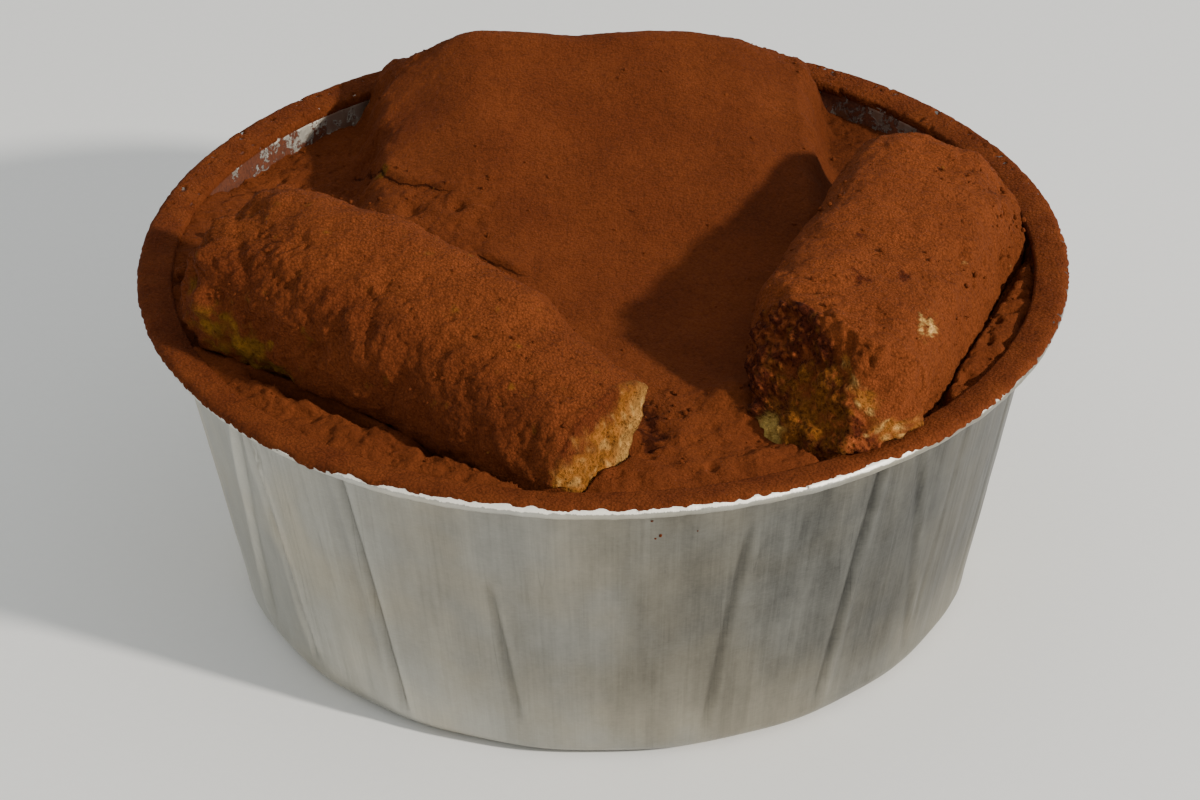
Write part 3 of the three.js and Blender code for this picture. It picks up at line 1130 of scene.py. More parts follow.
@dataclass
class FoilCup:
    """The round cup of rolled foil."""

    form: CupForm
    finish: FoilFinish = FoilFinish("rolled_foil")
    steps: int = 1080

    def profile(self) -> List[Tuple[float, float]]:
        """Radius and height round the cup's section, from the middle of the base and back."""
        form = self.form
        bead_radius, bead_height = form.rim_radius - form.bead, form.rim_height - form.bead
        flat = form.base_radius - form.corner

        def arc(
            radius: float, height: float, size: float, start: float, end: float, count: int
        ) -> List[Tuple[float, float]]:
            """Points round a middle, between two angles in degrees."""
            angles = [math.radians(mix(start, end, k / count)) for k in range(count + 1)]
            return [(radius + size * math.cos(a), height + size * math.sin(a)) for a in angles]

        def levels(count: int) -> List[float]:
            """Heights that divide the wall evenly."""
            return [mix(form.corner, form.top_height, k / count) for k in range(1, count)]

        return (
            [(flat * k / 4, 0.0) for k in range(4)]
            + arc(flat, form.corner, form.corner, -90, 0, 6)
            + [(form.outer(z), z) for z in levels(26)]
            + [(form.top_radius - 0.05, form.top_height - 0.1)]
            + [(form.top_radius + 0.5, form.top_height + 0.25), (bead_radius - 1.1, form.top_height + 0.3)]
            + arc(bead_radius, bead_height, form.bead, -130, 90, 12)
            + [(bead_radius - 1.2, form.rim_height - 0.12), (form.top_radius, form.rim_height - 0.35)]
            + [(form.inner(form.top_height), form.top_height)]
            + [(form.inner(z), z) for z in reversed(levels(14))]
            + arc(flat, form.corner, form.corner - form.foil, 0, -90, 4)
            + [(flat * k / 3, form.foil) for k in range(2, -1, -1)]
        )

    def shaped(self, point: Vector) -> Vector:
        """A point of the turned cup moved by flutes, creases and waves of the foil.

        Args:
            point: a point of the plain cup.

        Returns:
            Where it moves.
        """
        radius, angle = polar(point)
        if radius < self.form.base_radius / 2:
            return point
        heading = turned(1.0, angle)
        rim = smooth(39.5, 41.2, point.z) * smooth(51.0, 53.0, radius)
        crinkle = 0.06 * ripple(heading * 50.0, 2.2, 4.0) + 0.04 * ripple(heading * 50.0, 0.8, 5.0)
        lift = 0.12 * ripple(heading * 50.0, 6.0, 6.0) + 0.10 * ripple(heading * 50.0, 1.5, 7.0)
        radius += rim * crinkle - self.form.pressed(angle, point.z)
        return heading * radius + Vector((0.0, 0.0, point.z + rim * lift))

    def painted(self, point: Vector, normal: Vector) -> Paint:
        """Cocoa dust on the inside of the wall and on the rim, and on the outside the creases' depth, which
        the foil paints as shade.

        Args:
            point: a point of the cup.
            normal: its normal.

        Returns:
            Its paint.
        """
        radius, angle = polar(point)
        faces_out = normal.x * point.x + normal.y * point.y
        inside = faces_out < 0 and radius < self.form.top_radius + 0.6 and point.z > 5.0
        if inside:
            round_wall = turned(50.0, angle, point.z * 1.6)
            streak = ripple(round_wall, 3.2, 9.0) + 0.6 * ripple(round_wall, 1.1, 10.0)
            low = 1.0 - smooth(37.8, 38.9, point.z)
            degrees = abs(math.degrees(angle))
            sides = 1.0 - window(34.0, 150.0, 10.0, degrees)
            middle = window(122.0, 133.0, 6.0, degrees)
            high = smooth(39.8, 41.2, point.z) * (1.0 - 0.4 * middle)
            return Paint(dust=0.36 + 0.30 * streak + 0.30 * high + 0.4 * low + 0.35 * sides - 0.10 * middle)
        if point.z > self.form.rim_height - 1.0:
            edge = smooth(self.form.rim_radius - 0.3, self.form.rim_radius - 1.6, radius)
            return Paint(dust=0.27 + 0.4 * edge + 0.2 * ripple(point, 2.0, 3.0))
        return Paint(fold=self.form.folded(angle, point.z) if faces_out > 0 else 0.0)

    def build(self) -> bpy.types.Object:
        """Turns the section, shapes the foil and finishes the cup."""
        clay = Clay("foil_cup_dressed")
        clay.spin(self.profile(), self.steps)
        clay.move(self.shaped)
        clay.paint(self.painted)
        return clay.finish(self.finish.material(), "foil", "foil_cup")


@dataclass
class CreamFilling:
    """The cocoa-dusted cream with its mound."""

    form: CreamForm
    finish: PowderFinish = PowderFinish("cocoa_on_cream", contrast=0.4, granular=0.5)
    segments: int = 304

    @property
    def edge(self) -> float:
        """Radius of the surface, just inside the foil."""
        return self.form.cup.inner(self.form.level - 1.0) + 0.2

    def laid(self, point: Vector) -> Vector:
        """A point of the square grid laid on the surface inside the cup.

        Args:
            point: a point of a square from -1 to 1.

        Returns:
            A point of the surface.
        """
        x = point.x * math.sqrt(1.0 - point.y * point.y / 2.0)
        y = point.y * math.sqrt(1.0 - point.x * point.x / 2.0)
        x, y = x * self.edge, y * self.edge
        return Vector((x, y, self.form.height(x, y)))

    def fitted(self, point: Vector) -> Vector:
        """Keeps the surface just inside the foil of the wall."""
        radius, angle = polar(point)
        if radius < 50.0:
            return point
        limit = self.form.cup.inner(point.z) + 0.2 - self.form.cup.pressed(angle, point.z)
        return turned(mix(radius, limit, smooth(50.0, self.edge - 0.2, radius)), angle, point.z)

    def painted(self, point: Vector, normal: Vector) -> Paint:
        """Cocoa tones, with painted shade in the hollow beside the broken end, painted light and shade on the
        mound's sides and troughs, and a little bare cream left of the mound.

        Args:
            point: a point of the cream.
            normal: its normal, which plays no part.

        Returns:
            Its paint.
        """
        tone = 0.45 + 0.6 * ripple(point, 8.0, 21.0)
        # Painted shade in the crumbly hollow beside the left biscuit's broken end.
        hollow_shade = smooth(0.25, 0.85, self.form.beside_face(point) * (0.8 + 0.9 * crumble(point, 1.1, 24.0)))
        tint = lit(cocoa(0.5 * tone + 0.5 * hollow_shade), 1.0 - 0.58 * hollow_shade)
        # Painted light on the left side of the mound, painted shade on its right half.
        painted_light_left = smooth(-18.0, -24.0, point.x) * smooth(2.0, 10.0, point.y)
        painted_shade_right = smooth(2.0, 18.0, point.x) * smooth(-6.0, 6.0, point.y)
        tint = lit(tint, 1.0 + 0.16 * painted_light_left - 0.12 * painted_shade_right)
        flat = Vector((point.x, point.y, 0.0))
        distance, side, way = min(crack.nearest(flat) for crack in self.form.cracks)
        uneven = min(max(0.7 + 0.9 * ripple(point, 2.2, 25.0), 0.1), 1.0)
        parted = (1.0 - smooth(0.5, 1.1, distance)) * smooth(0.0, 1.6, way) * uneven
        # Painted shade in the troughs on the left and the right of the mound.
        shade = smooth(-22.0, -27.0, point.x) * window(4.0, 44.0, 4.0, point.y)
        shade = max(shade, smooth(25.0, 29.0, point.x) * smooth(8.0, 16.0, point.y))
        tint = lit(tint, 1.0 - 0.12 * shade)
        olive = spot_at(point.x + 27.6, point.y - 18.4, 1.5) * 1.2 + 0.5 * ripple(point, 1.2, 22.0)
        bare = smooth(0.75, 1.1, olive) * 0.8
        tint = blend(tint, Tone.CRUMB_OLIVE.value, bare)
        return Paint(tint=tint, crumb=0.6 * bare, split=side * min(distance, 5.0), parted=parted)

    def build(self) -> bpy.types.Object:
        """Lays a fine grid on the surface and closes it down to the cup's bottom."""
        clay = Clay("cream_dressed")
        bmesh.ops.create_grid(clay.bm, x_segments=self.segments, y_segments=self.segments, size=1.0)
        clay.move(self.laid)
        clay.push(lambda point, normal: cocoa_relief(point, self.form.rough(point)))
        clay.move(self.fitted)
        cup = self.form.cup
        for height, inset in ((None, 0.25), (24.0, 0.35), (cup.corner, 0.35), (0.85, 3.4)):
            grown = bmesh.ops.extrude_edge_only(clay.bm, edges=clay.open_edges())["geom"]
            for vert in (item for item in grown if isinstance(item, bmesh.types.BMVert)):
                z = vert.co.z - 1.0 if height is None else height
                _, angle = polar(vert.co)
                vert.co = turned(cup.inner(z) - inset - cup.pressed(angle, z), angle, z)
        bmesh.ops.holes_fill(clay.bm, edges=clay.open_edges(), sides=0)
        clay.outwards()
        clay.paint(self.painted)
        return clay.finish(self.finish.material(), "cocoa_cream", "cream_filling")


@dataclass
class Biscuit:
    """A sponge biscuit with a round end and a broken end.

    Rough, painter and broad say how crumbly, how coloured and how lumpy it is at a place S, P, Q. Each
    dent has such a place, a depth and a size.
    """

    name: str
    form: BiscuitForm
    cup: CupForm
    node: str
    rough: Callable[[float, float, float], float]
    painter: Callable[["Biscuit", float, float, float, Vector], Paint]
    finish: PowderFinish
    dents: Tuple[Tuple[float, float, float, float, float], ...] = ()
    broad: Callable[[float, float, float], float] = lambda s, p, q: 0.0
    face_from: float = 25.0
    long_steps: int = 220
    side_steps: int = 60
    torn: float = 0.5
    lumps: float = 0.45

    def wrapped(self, point: Vector) -> Vector:
        """A point of the divided block wrapped round the biscuit's form.

        Args:
            point: a point of a block from -1 to 1.

        Returns:
            A point of the biscuit.
        """
        share = max(abs(point.y), abs(point.z))
        form = self.form
        if share < 1e-6:
            angle = 0.0
        elif abs(point.y) >= abs(point.z):
            angle = math.pi / 4 * point.z / point.y + (math.pi if point.y < 0 else 0.0)
        else:
            angle = math.pi / 2 - math.pi / 4 * point.y / point.z + (math.pi if point.z < 0 else 0.0)
        start = form.round_end + form.round_length
        way = (point.x + 1.0) / 2.0
        reach = form.outline(angle, mix(start, form.broken(0.0, 0.0), way))
        if way < 1e-6:
            turn = share * math.pi / 2
            power = 2 / form.end_square
            scale = math.sin(turn) ** power
            s = form.round_end + form.round_length * (1.0 - math.cos(turn) ** power if share < 1.0 else 1.0)
            return form.place(s, scale * reach * math.cos(angle), scale * reach * math.sin(angle))
        if way > 1.0 - 1e-6:
            p, q = share * reach * math.cos(angle), share * reach * math.sin(angle)
            return form.place(form.broken(p, q), p, q)
        p, q = reach * math.cos(angle), reach * math.sin(angle)
        return form.place(mix(start, form.broken(p, q), way), p, q)

    def faceness(self, point: Vector) -> float:
        """1 on the broken end, 0 on the skin."""
        s, p, q = self.form.local(point)
        return smooth(-0.9, -0.3, s - self.form.broken(p, q))

    def dented(self, place: Place, start: float = -math.inf) -> float:
        """Depth of the dents at a place S, P, Q, counting those whose own S is past a start."""
        return sum(
            depth * bell(math.dist(place, middle), size)
            for *middle, depth, size in self.dents if middle[0] > start
        )

    def relief(self, point: Vector, normal: Vector) -> float:
        """Uneven baked shape, powder on the skin and torn crumb on the broken end.

        Args:
            point: a point of the biscuit.
            normal: its normal, which plays no part.

        Returns:
            The height to add.
        """
        place = self.form.local(point)
        skin = self.lumps * ripple(point, 9.0, 31.0) + 0.5 * self.lumps * ripple(point, 4.0, 32.0)
        skin += cocoa_relief(point, self.rough(*place)) - self.dented(place)
        skin += self.broad(*place) * crumble(point, 4.6, 36.0)
        face = self.faceness(point)
        if face <= 0.0:
            return skin
        lump = -self.dented(place, self.face_from)
        crumb = 0.75 * crumble(point, 2.8, 33.0) + 0.35 * crumble(point, 1.0, 34.0)
        pores = 0.35 * hollows(point, 1.7, 0.5, 35.0)
        return mix(skin, self.torn * (crumb - pores) * (1.0 - 0.6 * min(abs(lump), 1.0)) + lump, face)

    def trimmed(self, point: Vector) -> Vector:
        """Keeps the biscuit inside the wall below the rim."""
        limit = self.cup.inner(min(point.z, self.cup.top_height)) - 0.1
        radius, _ = polar(point)
        if radius <= limit or point.z > self.cup.rim_height + 0.6:
            return point
        share = limit / radius
        return Vector((point.x * share, point.y * share, point.z))

    def build(self) -> bpy.types.Object:
        """Divides a block, wraps it round the form, roughens and paints it."""
        clay = Clay(self.name)
        bm = clay.bm
        bmesh.ops.create_cube(bm, size=2.0)
        lengthwise = [edge for edge in bm.edges if abs(edge.verts[0].co.x - edge.verts[1].co.x) > 1.0]
        bmesh.ops.subdivide_edges(bm, edges=lengthwise, cuts=self.long_steps, use_grid_fill=True)
        crosswise = [edge for edge in bm.edges if abs(edge.verts[0].co.x - edge.verts[1].co.x) < 1e-6]
        bmesh.ops.subdivide_edges(bm, edges=crosswise, cuts=self.side_steps, use_grid_fill=True)
        clay.move(self.wrapped)
        clay.outwards()
        clay.push(self.relief)
        clay.move(self.trimmed)
        clay.paint(lambda point, normal: self.painter(self, *self.form.local(point), point))
        return clay.finish(self.finish.material(), "cocoa_biscuit", self.node)


def rough_left(s: float, p: float, q: float) -> float:
    """Crumbly on the near flank and at the round end, calmer on top."""
    flank = smooth(2.0, -7.0, p) * smooth(-30.0, -22.0, s)
    end = smooth(-20.0, -27.0, s)
    back = smooth(6.0, 9.0, p)
    return 0.85 + max(0.9 * flank, 1.3 * end, 0.6 * back)


def rough_right(s: float, p: float, q: float) -> float:
    """Rough all over, most at the broken end's edge and at the back."""
    return 0.85 + max(0.6 * smooth(10.0, 20.0, s), 0.35 * smooth(-18.0, -24.0, s), 0.4 * smooth(4.0, 9.0, p))


def paint_left(biscuit: Biscuit, s: float, p: float, q: float, point: Vector) -> Paint:
    """Cocoa on the skin, golden crumb on the broken end, painted shade on the near flank and the chipped
    corner, and a rubbed olive patch by the round end.

    Args:
        biscuit: the biscuit.
        s: place along it.
        p: place across.
        q: height over the middle line.
        point: the same place in the part's frame.

    Returns:
        The paint.
    """
    tone = 0.3 + 0.6 * ripple(point, 7.0, 41.0)
    # The skin is painted darker towards the near flank, as shade.
    skin = cocoa(0.35 * tone + 0.30 * smooth(-3.0, -8.0, p))
    skin = lit(skin, 1.22 - 0.16 * smooth(-4.0, 12.0, s) - 0.02 * smooth(0.0, -8.0, p))
    rubbed = ripple(point, 1.5, 42.0)
    ragged = crumble(point, 2.0, 44.0)
    along_edge = q + 2.3 + 0.42 * (s + 18.4)
    olive = spot_at((s + 18.4) / 2.7, along_edge * 0.85, 3.0) * (1.0 if p < -4 else 0.0)
    olive = smooth(0.30, 0.85, olive + 0.5 * ragged + 0.25 * rubbed)
    bare = 0.86 * olive
    tint = blend(skin, lit(Tone.CRUMB_OLIVE.value, 1.1 + 0.6 * rubbed), bare)
    face = biscuit.faceness(point)
    dusted = smooth(5.0, 8.0, q + 1.6 * ragged - 0.22 * (p + 4.0))
    corner = p - max(q, -2.0) - 0.4
    beyond = smooth(-0.2, 0.9, corner + 0.5 * rubbed)
    low = smooth(3.6, -1.6, q + 0.8 * ragged)
    pale = smooth(-5.2, -0.8, corner + 1.1 * ragged) * (0.30 + 0.70 * low)
    pale += 0.35 * smooth(0.1, 0.6, ripple(point, 0.9, 45.0))
    crumb_tint = lit(blend(Tone.CRUMB_GOLD.value, Tone.CRUMB_PALE.value, pale), 0.92 + 0.3 * rubbed)
    crumb = face * (1.0 - max(dusted, beyond))
    # The broken end is blended towards deep cocoa: cocoa dust where it is dusted, painted shade on the
    # chipped corner; bare crumb goes over it.
    tint = blend(blend(tint, Tone.COCOA_DEEP.value, 0.6 * face), crumb_tint, crumb)
    return Paint(tint=tint, crumb=max(crumb, 0.8 * bare))


def paint_right(biscuit: Biscuit, s: float, p: float, q: float, point: Vector) -> Paint:
    """Cocoa on the skin, dark soaked crumb on the broken end and rubbed golden marks beside it.

    Args:
        biscuit: the biscuit.
        s: place along it.
        p: place across.
        q: height over the middle line.
        point: the same place in the part's frame.

    Returns:
        The paint.
    """
    tone = 0.3 + 0.6 * ripple(point, 7.0, 51.0)
    skin = lit(cocoa(0.3 * tone), 1.27 - 0.26 * smooth(1.0, 8.5, p))
    rubbed = ripple(point, 1.3, 52.0)
    ragged = crumble(point, 1.8, 54.0)
    dark = max(
        spot_at((s - 14.0) / 1.8, p + 0.5, 2.4) + 0.7 * ragged,
        spot_at((s - 10.5) / 1.4, p - 4.0, 1.6) + 0.6 * ragged,
        spot_at(s - 4.0, p + 3.0, 1.8) + 0.6 * ragged,
    )
    skin = blend(skin, Tone.COCOA_DEEP.value, 0.9 * smooth(0.75, 1.15, dark))
    to_end = s - biscuit.form.broken(p, q)
    limit = 6.2 - 0.95 * (q - 1.0)
    beyond = p - limit + 0.9 * rubbed
    near_end = smooth(-3.6, -1.2, to_end)
    strip = near_end * bell(p - limit - 1.5, 1.5) * window(-0.5, 6.0, 1.5, q) + 0.55 * ragged
    foot = near_end * window(limit + 0.2, limit + 3.4, 1.0, p) * window(-5.0, -1.2, 1.2, q) + 0.5 * ragged
    gold = max(smooth(0.45, 0.95, strip), smooth(0.55, 1.0, foot))
    streak = spot_at((s - 16.4) / 3.0, (p - 9.0) / 1.1, 1.0) + 0.5 * crumble(point, 1.1, 55.0)
    streak = smooth(0.45, 1.0, streak)
    tint = blend(skin, Tone.CRUMB_GOLD.value, max(0.9 * gold, 0.7 * streak))
    pale = max(0.75 * smooth(0.4, 1.0, streak + 0.5 * rubbed), 0.8 * gold * smooth(0.1, 0.5, rubbed))
    tint = blend(tint, Tone.CRUMB_PALE.value, pale)
    face = biscuit.faceness(point) * (1.0 - smooth(-0.5, 0.7, beyond))
    cloudy = 0.6 * crumble(point, 2.0, 53.0) + 0.4 * crumble(point, 0.8, 57.0)
    golden = smooth(0.15, 0.85, spot_at(p + 0.5, (q - 1.0) * 1.1, 5.2) + 0.9 * cloudy)
    soaked = blend(lit(Tone.COCOA_DEEP.value, 0.75), Tone.CRUMB_SOAKED.value, golden)
    specks = smooth(0.35, 0.6, crumble(point, 0.9, 56.0) + 0.25 * smooth(3.0, 7.0, abs(p + 0.5)))
    soaked = lit(blend(soaked, lit(Tone.COCOA.value, 1.6), 0.7 * specks), 1.18)
    dab = 1.2 * spot_at((p + 4.4) / 3.3, (q + 2.7) / 1.5, 1.0)
    cream = face * smooth(0.30, 0.75, dab + 0.25 * ragged)
    soaks = smooth(-0.9, 0.9, 0.35 * (p + 4.0) - 0.7 * rubbed)
    soaked = blend(soaked, lit(blend(Tone.CREAM.value, Tone.CRUMB_SOAKED.value, soaks), 1.25), cream)
    crumb = max(face * (0.9 - 0.5 * cream), 0.8 * max(gold, streak))
    return Paint(tint=blend(tint, soaked, face), crumb=crumb)


@dataclass
class RimCocoa:
    """Cocoa powder that lies on the rim, ragged towards the bead."""

    cup: CupForm
    finish: PowderFinish = PowderFinish("cocoa_on_rim", contrast=0.5)
    steps: int = 1080
    across: int = 30
    start: float = -1.4
    crest: float = 3.1
    end: float = 5.1
    reach: float = 4.45
    strip: float = 50.0

    def seat(self, along: float) -> Tuple[float, float, float, float]:
        """The foil that the powder lies on.

        Args:
            along: the way along the rim's section from the wall's top, negative down the inside.

        Returns:
            Radius, height and the two parts of the outward direction.
        """
        cup = self.cup
        if along < 0.0:
            return cup.inner(cup.top_height), cup.top_height + 1.1 + along, -1.0, 0.15
        if along < self.crest:
            height = cup.rim_height - 0.35 * (1.0 - along / self.crest)
            return cup.top_radius - 0.5 + along, height, smooth(0.0, 0.6, along) - 1.0, 1.0
        angle = math.pi / 2 - (along - self.crest) / cup.bead
        out, up = math.cos(angle), math.sin(angle)
        return cup.rim_radius - cup.bead + cup.bead * out, cup.rim_height - cup.bead + cup.bead * up, out, up

    def limit(self, spot: Vector, degrees: float) -> float:
        """How far out the powder reaches before it breaks off raggedly.

        Args:
            spot: the place on the rim, for the noise.
            degrees: the angle round the cup.

        Returns:
            The way along the rim's section.
        """
        front = window(-112.0, -60.0, 14.0, degrees)
        right = window(-36.0, 14.0, 12.0, degrees)
        left = window(-165.0, -128.0, 10.0, degrees)
        limit = self.reach - 0.62 * front - 0.15 * right + 0.1 * left
        jagged = 0.24 * ripple(spot, 2.6, 60.0) + 0.26 * ripple(spot, 1.1, 61.0)
        jagged += 0.36 * ripple(spot, 0.6, 62.0)
        gap = 0.9 * bell(degrees + 122.0, 7.0) * ripple(spot, 3.4, 68.0)
        return limit + (jagged * (1.0 - 0.25 * front) + gap)

    def depth(self, along: float, spot: Vector, degrees: float) -> float:
        """Depth of the powder, negative where the foil is bare.

        Args:
            along: the way along the rim's section.
            spot: the place on the rim, for the noise.
            degrees: the angle round the cup.

        Returns:
            The depth over the foil.
        """
        limit = self.limit(spot, degrees)
        cover = 1.0 - smooth(limit - 0.45, limit + 0.05, along)
        behind = smooth(8.0, 30.0, degrees) * (1.0 - smooth(160.0, 172.0, degrees))
        flecks = smooth(0.33, 0.45, ripple(spot, 0.95, 63.0))
        flecks *= window(2.4, 4.0, 0.5, along) + window(-1.0, 0.6, 0.3, along)
        side = smooth(0.3, 0.5, ripple(spot, 1.0, 67.0)) * window(3.4, 4.4, 0.4, along)
        side *= (1.0 - window(-112.0, -60.0, 14.0, degrees)) * 0.8 * window(-34.0, 60.0, 10.0, degrees)
        depth = mix(-0.14, 0.20, cover) + 0.09 * ripple(spot, 2.2, 64.0) + 0.07 * ripple(spot, 0.8, 65.0)
        depth += 0.10 * smooth(0.2, 1.2, along) * (1.0 - smooth(2.2, 3.4, along))
        depth -= 0.5 * behind * flecks + 0.3 * side
        ending = smooth(self.start, self.start + 0.7, along) * (1.0 - smooth(self.end - 0.4, self.end, along))
        return mix(-0.18, max(depth, -0.16), ending)

    def shaped(self, point: Vector) -> Vector:
        """A point of the flat strip laid on the rim with the powder's depth.

        Args:
            point: a point of the flat strip.

        Returns:
            Where it lies on the rim.
        """
        radius, angle = polar(point)
        along = radius - self.strip
        depth = self.depth(along, turned(54.0 + along, angle), math.degrees(angle))
        radius, height, out, up = self.seat(along)
        size = math.hypot(out, up)
        return turned(radius + depth * out / size, angle, height + depth * up / size)

    def build(self) -> bpy.types.Object:
        """Turns a flat strip, lays it on the rim and gives it a thin underside."""
        clay = Clay("cocoa_on_rim")
        ways = [mix(self.start, self.end, k / self.across) for k in range(self.across + 1)]
        clay.spin([(way + self.strip, 0.0) for way in ways], self.steps)
        clay.move(self.shaped)
        clay.outwards()
        bmesh.ops.solidify(clay.bm, geom=clay.bm.faces[:], thickness=0.06)
        clay.outwards()
        clay.paint(lambda point, normal: Paint(tint=cocoa(0.3 + 0.4 * ripple(point, 3.0, 66.0))))
        return clay.finish(self.finish.material(), "cocoa_cream")


@dataclass
class Crumbs:
    """Loose clumps of cocoa and sponge, scattered by a seeded draw."""

    cream: CreamForm
    biscuits: Sequence[BiscuitForm]
    finish: PowderFinish = PowderFinish("loose_cocoa")
    count: int = 1300
    seed: int = 7
    flecks: Tuple[Place, ...] = (
        (-84.4, 38.2, 0.2), (-78.6, 36.1, 0.14), (-83.3, 35.9, 0.24), (-83.9, 35.5, 0.16),
    )
    chunks: Tuple[Tuple[Place, float], ...] = (
        ((-50.2, -3.6, 42.6), 0.95), ((-49.0, -4.6, 42.2), 0.6),
        ((-46.8, 5.6, 42.4), 0.7), ((-50.6, -1.8, 42.5), 0.4),
    )

    def build(self) -> bpy.types.Object:
        """Adds small lumps, the flecks on the wall's outside and the chunks by the left biscuit's end."""
        clay = Clay("loose_clumps")
        self.scatter(clay)
        for degrees, height, size in self.flecks:
            place = turned(self.cream.cup.outer(height), math.radians(degrees), height)
            bmesh.ops.create_icosphere(clay.bm, subdivisions=1, radius=size, matrix=Matrix.Translation(place))
        for place, size in self.chunks:
            middle = Vector(place)
            chunk = bmesh.ops.create_icosphere(
                clay.bm, subdivisions=4, radius=size, matrix=Matrix.Translation(middle)
            )
            for vert in chunk["verts"]:
                vert.co = middle + (vert.co - middle) * (1.0 + 0.5 * crumble(vert.co, 1.4, 70.0))
        clay.move(lambda point: point + 0.10 * Vector([ripple(point, 0.35, seed) for seed in (1, 2, 3)]))
        clay.paint(self.painted)
        return clay.finish(self.finish.material(), "cocoa_cream")

    def scatter(self, clay: Clay) -> None:
        """Adds the small lumps where seeded draws fall."""
        draw = random.Random(self.seed)
        placed = 0
        while placed < self.count:
            spot = self.spot(draw)
            if spot is None:
                continue
            size = 0.10 + 0.32 * draw.random() ** 4
            turn = Matrix.Rotation(draw.uniform(0, math.pi), 4, "X")
            turn = turn @ Matrix.Rotation(draw.uniform(0, math.pi), 4, "Z")
            squash = Matrix.Diagonal((1.0, draw.uniform(0.6, 1.0), draw.uniform(0.5, 0.9), 1.0))
            matrix = Matrix.Translation(spot) @ turn @ squash
            bmesh.ops.create_icosphere(clay.bm, subdivisions=1, radius=size, matrix=matrix)
            placed += 1

    def painted(self, point: Vector, normal: Vector) -> Paint:
        """Mostly cocoa, now and then a speck of sponge."""
        sponge = 0.7 * smooth(0.52, 0.6, ripple(point, 3.0, 5.0))
        tint = lit(cocoa(0.3 + 0.4 * ripple(point, 1.6, 4.0)), 1.04)
        return Paint(tint=blend(tint, Tone.CRUMB_GOLD.value, sponge))

    def spot(self, draw: random.Random) -> Optional[Vector]:
        """A point on the cream or on a biscuit, or None where the draw misses.

        Args:
            draw: the seeded draws.

        Returns:
            The point, or None.
        """
        if draw.random() < 0.6:
            radius, angle = 51.2 * math.sqrt(draw.random()), draw.uniform(-math.pi, math.pi)
            x, y = radius * math.cos(angle), radius * math.sin(angle)
            spot = Vector((x, y, 0.0))
            if draw.random() > self.cream.rough(spot) - 0.3:
                return None
            if any(form.underside(spot) is not None for form in self.biscuits):
                return None
            return Vector((x, y, self.cream.height(x, y)))
        form = draw.choice(list(self.biscuits))
        angle = draw.uniform(0.05, math.pi - 0.05)
        s = draw.uniform(form.round_end + form.round_length, form.broken(0.0, 0.0))
        reach = form.outline(angle, s)
        p, q = reach * math.cos(angle), reach * math.sin(angle)
        if s > form.broken(p, q) - 0.3:
            return None
        roughness = rough_left(s, p, q) if form is self.biscuits[0] else rough_right(s, p, q)
        return form.place(s, p, q) if draw.random() < roughness - 0.4 else None


# ---------------------------------------------------------------- studio


@dataclass
class Studio:
    """Pale floor, low light from the right, soft light from all round and the camera."""

    elevation: float = 32.10
    roll: float = -0.596
    lens: float = 135.0
    eye: Place = (-0.565, -469.416, 316.130)
    key_azimuth: float = -34.0
    key_elevation: float = 27.0
    key_distance: float = 1.2
    key_size: float = 0.075
    key_power: float = 18.5
    fill: float = 0.68

    def floor(self) -> None:
        """Plain pale floor, wide enough for every view."""
        clay = bmesh.new()
        bmesh.ops.create_grid(clay, x_segments=2, y_segments=2, size=3.0)
        mesh = bpy.data.meshes.new("floor")
        clay.to_mesh(mesh)
        clay.free()
        mesh.materials.append(ClothFinish("pale_floor").material())
        linked("floor", mesh)

    def key(self) -> None:
        """One small lamp, low on the right, so that shadows are crisp."""
        azimuth, elevation = math.radians(self.key_azimuth), math.radians(self.key_elevation)
        level = math.cos(elevation)
        heading = Vector((level * math.cos(azimuth), level * math.sin(azimuth), math.sin(elevation)))
        lamp = bpy.data.lights.new("key", "AREA")
        lamp.shape = "DISK"
        lamp.size = self.key_size
        lamp.energy = self.key_power
        lamp.color = (1.0, 0.965, 0.91)
        key = linked("key", lamp)
        key.location = heading * self.key_distance + Vector((0, 0, 0.04))
        key.rotation_euler = heading.to_track_quat("Z", "Y").to_euler()

    def world(self) -> None:
        """Even soft light from all round."""
        world = bpy.data.worlds.new("studio")
        world.use_nodes = True
        background = world.node_tree.nodes["Background"]
        background.inputs["Color"].default_value = (0.93, 0.97, 1.0, 1.0)
        background.inputs["Strength"].default_value = self.fill
        bpy.context.scene.world = world

    def camera(self) -> None:
        """Camera at the viewing angle, with a long lens."""
        data = bpy.data.cameras.new("camera")
        data.lens = self.lens
        data.sensor_width = 36.0
        data.clip_start = 0.05
        camera = linked("camera", data)
        camera.location = Vector(self.eye) * MM
        tilt = Matrix.Rotation(math.radians(90.0 - self.elevation), 3, "X")
        camera.rotation_euler = (tilt @ Matrix.Rotation(math.radians(self.roll), 3, "Z")).to_euler()
        bpy.context.scene.camera = camera

    def build(self) -> None:
        """Sets up floor, light and camera."""
        self.floor()
        self.key()
        self.world()
        self.camera()


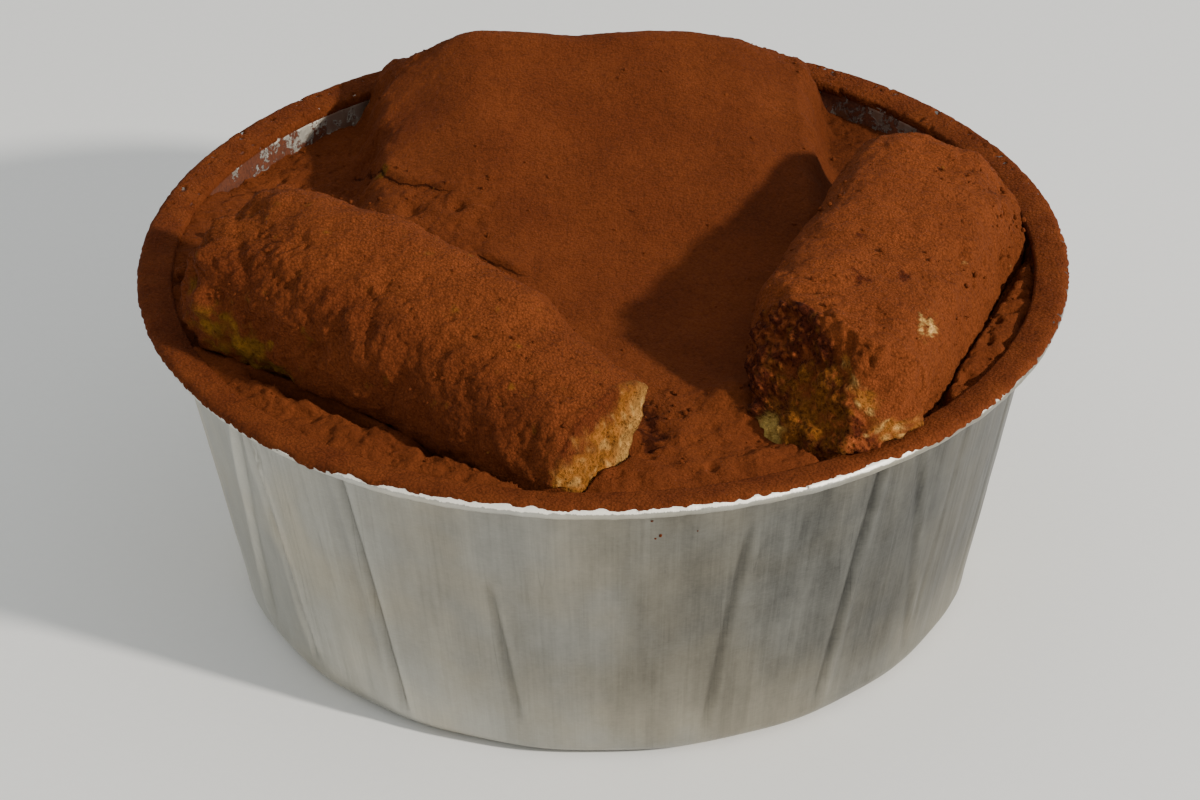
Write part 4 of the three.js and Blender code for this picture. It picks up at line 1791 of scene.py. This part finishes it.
def main() -> None:
    """Builds every piece and the studio."""
    logging.basicConfig(level=logging.INFO)
    cup = CupForm.from_frame()
    cream = CreamForm(cup, (LEFT_BISCUIT, RIGHT_BISCUIT))
    sponge = PowderFinish("cocoa_on_sponge", grain=0.32, contrast=0.75, fine=1.1, depth=0.34, pore=0.45)
    soaked = PowderFinish(
        "cocoa_on_soaked_sponge", grain=0.32, contrast=0.7, fine=1.0, depth=0.32, pore=0.5, torn=1.6
    )
    pieces = [
        FoilCup(cup),
        CreamFilling(cream),
        Biscuit(
            "biscuit_left_dressed", LEFT_BISCUIT, cup, "biscuit_left", rough_left, paint_left, sponge,
            dents=(
                (-34.0, -2.0, 2.0, 2.2, 8.0), (-30.0, 2.6, 8.0, 1.6, 3.0), (-24.4, 1.0, 9.0, 2.6, 1.5),
                (-22.6, 2.4, 9.2, -0.5, 1.6), (-26.2, -7.6, 7.0, -1.3, 1.5), (-24.6, -9.9, 2.6, -1.3, 1.6),
                (-27.6, -8.6, 4.6, 1.5, 1.5), (-14.0, 7.5, 8.0, 0.5, 2.0), (-4.0, -9.6, 5.0, 0.8, 1.6),
                (-0.5, -8.6, 6.8, 0.7, 1.2), (-7.5, -10.0, 2.0, 0.9, 1.5), (5.0, -10.0, 3.2, 0.8, 1.4),
                (-12.0, -9.0, 5.6, 0.7, 1.3),
            ),
            broad=lambda s, p, q: 0.18 + 0.42 * smooth(0.0, -7.0, p) + 0.45 * smooth(-18.0, -25.0, s),
        ),
        Biscuit(
            "biscuit_right_dressed", RIGHT_BISCUIT, cup, "biscuit_right", rough_right, paint_right, soaked,
            dents=(
                (-22.0, 10.0, 6.0, 2.2, 6.5), (-12.0, 11.0, 1.5, 0.9, 5.0), (-17.4, 10.0, 4.6, 0.7, 1.0),
                (-14.0, 9.0, 7.0, -0.5, 2.6), (-26.5, 1.5, 6.0, 0.9, 2.0), (-25.0, -4.0, 8.0, -0.5, 2.4),
                (30.6, -4.2, -2.8, -0.9, 2.2),
            ),
            broad=lambda s, p, q: 0.20 + 0.25 * smooth(-14.0, -22.0, s) + 0.2 * smooth(6.0, 9.0, p),
            torn=1.15,
        ),
        RimCocoa(cup),
        Crumbs(cream, cream.biscuits),
    ]
    for piece in pieces:
        piece.build()
    Studio().build()


if __name__ == "__main__":
    main()
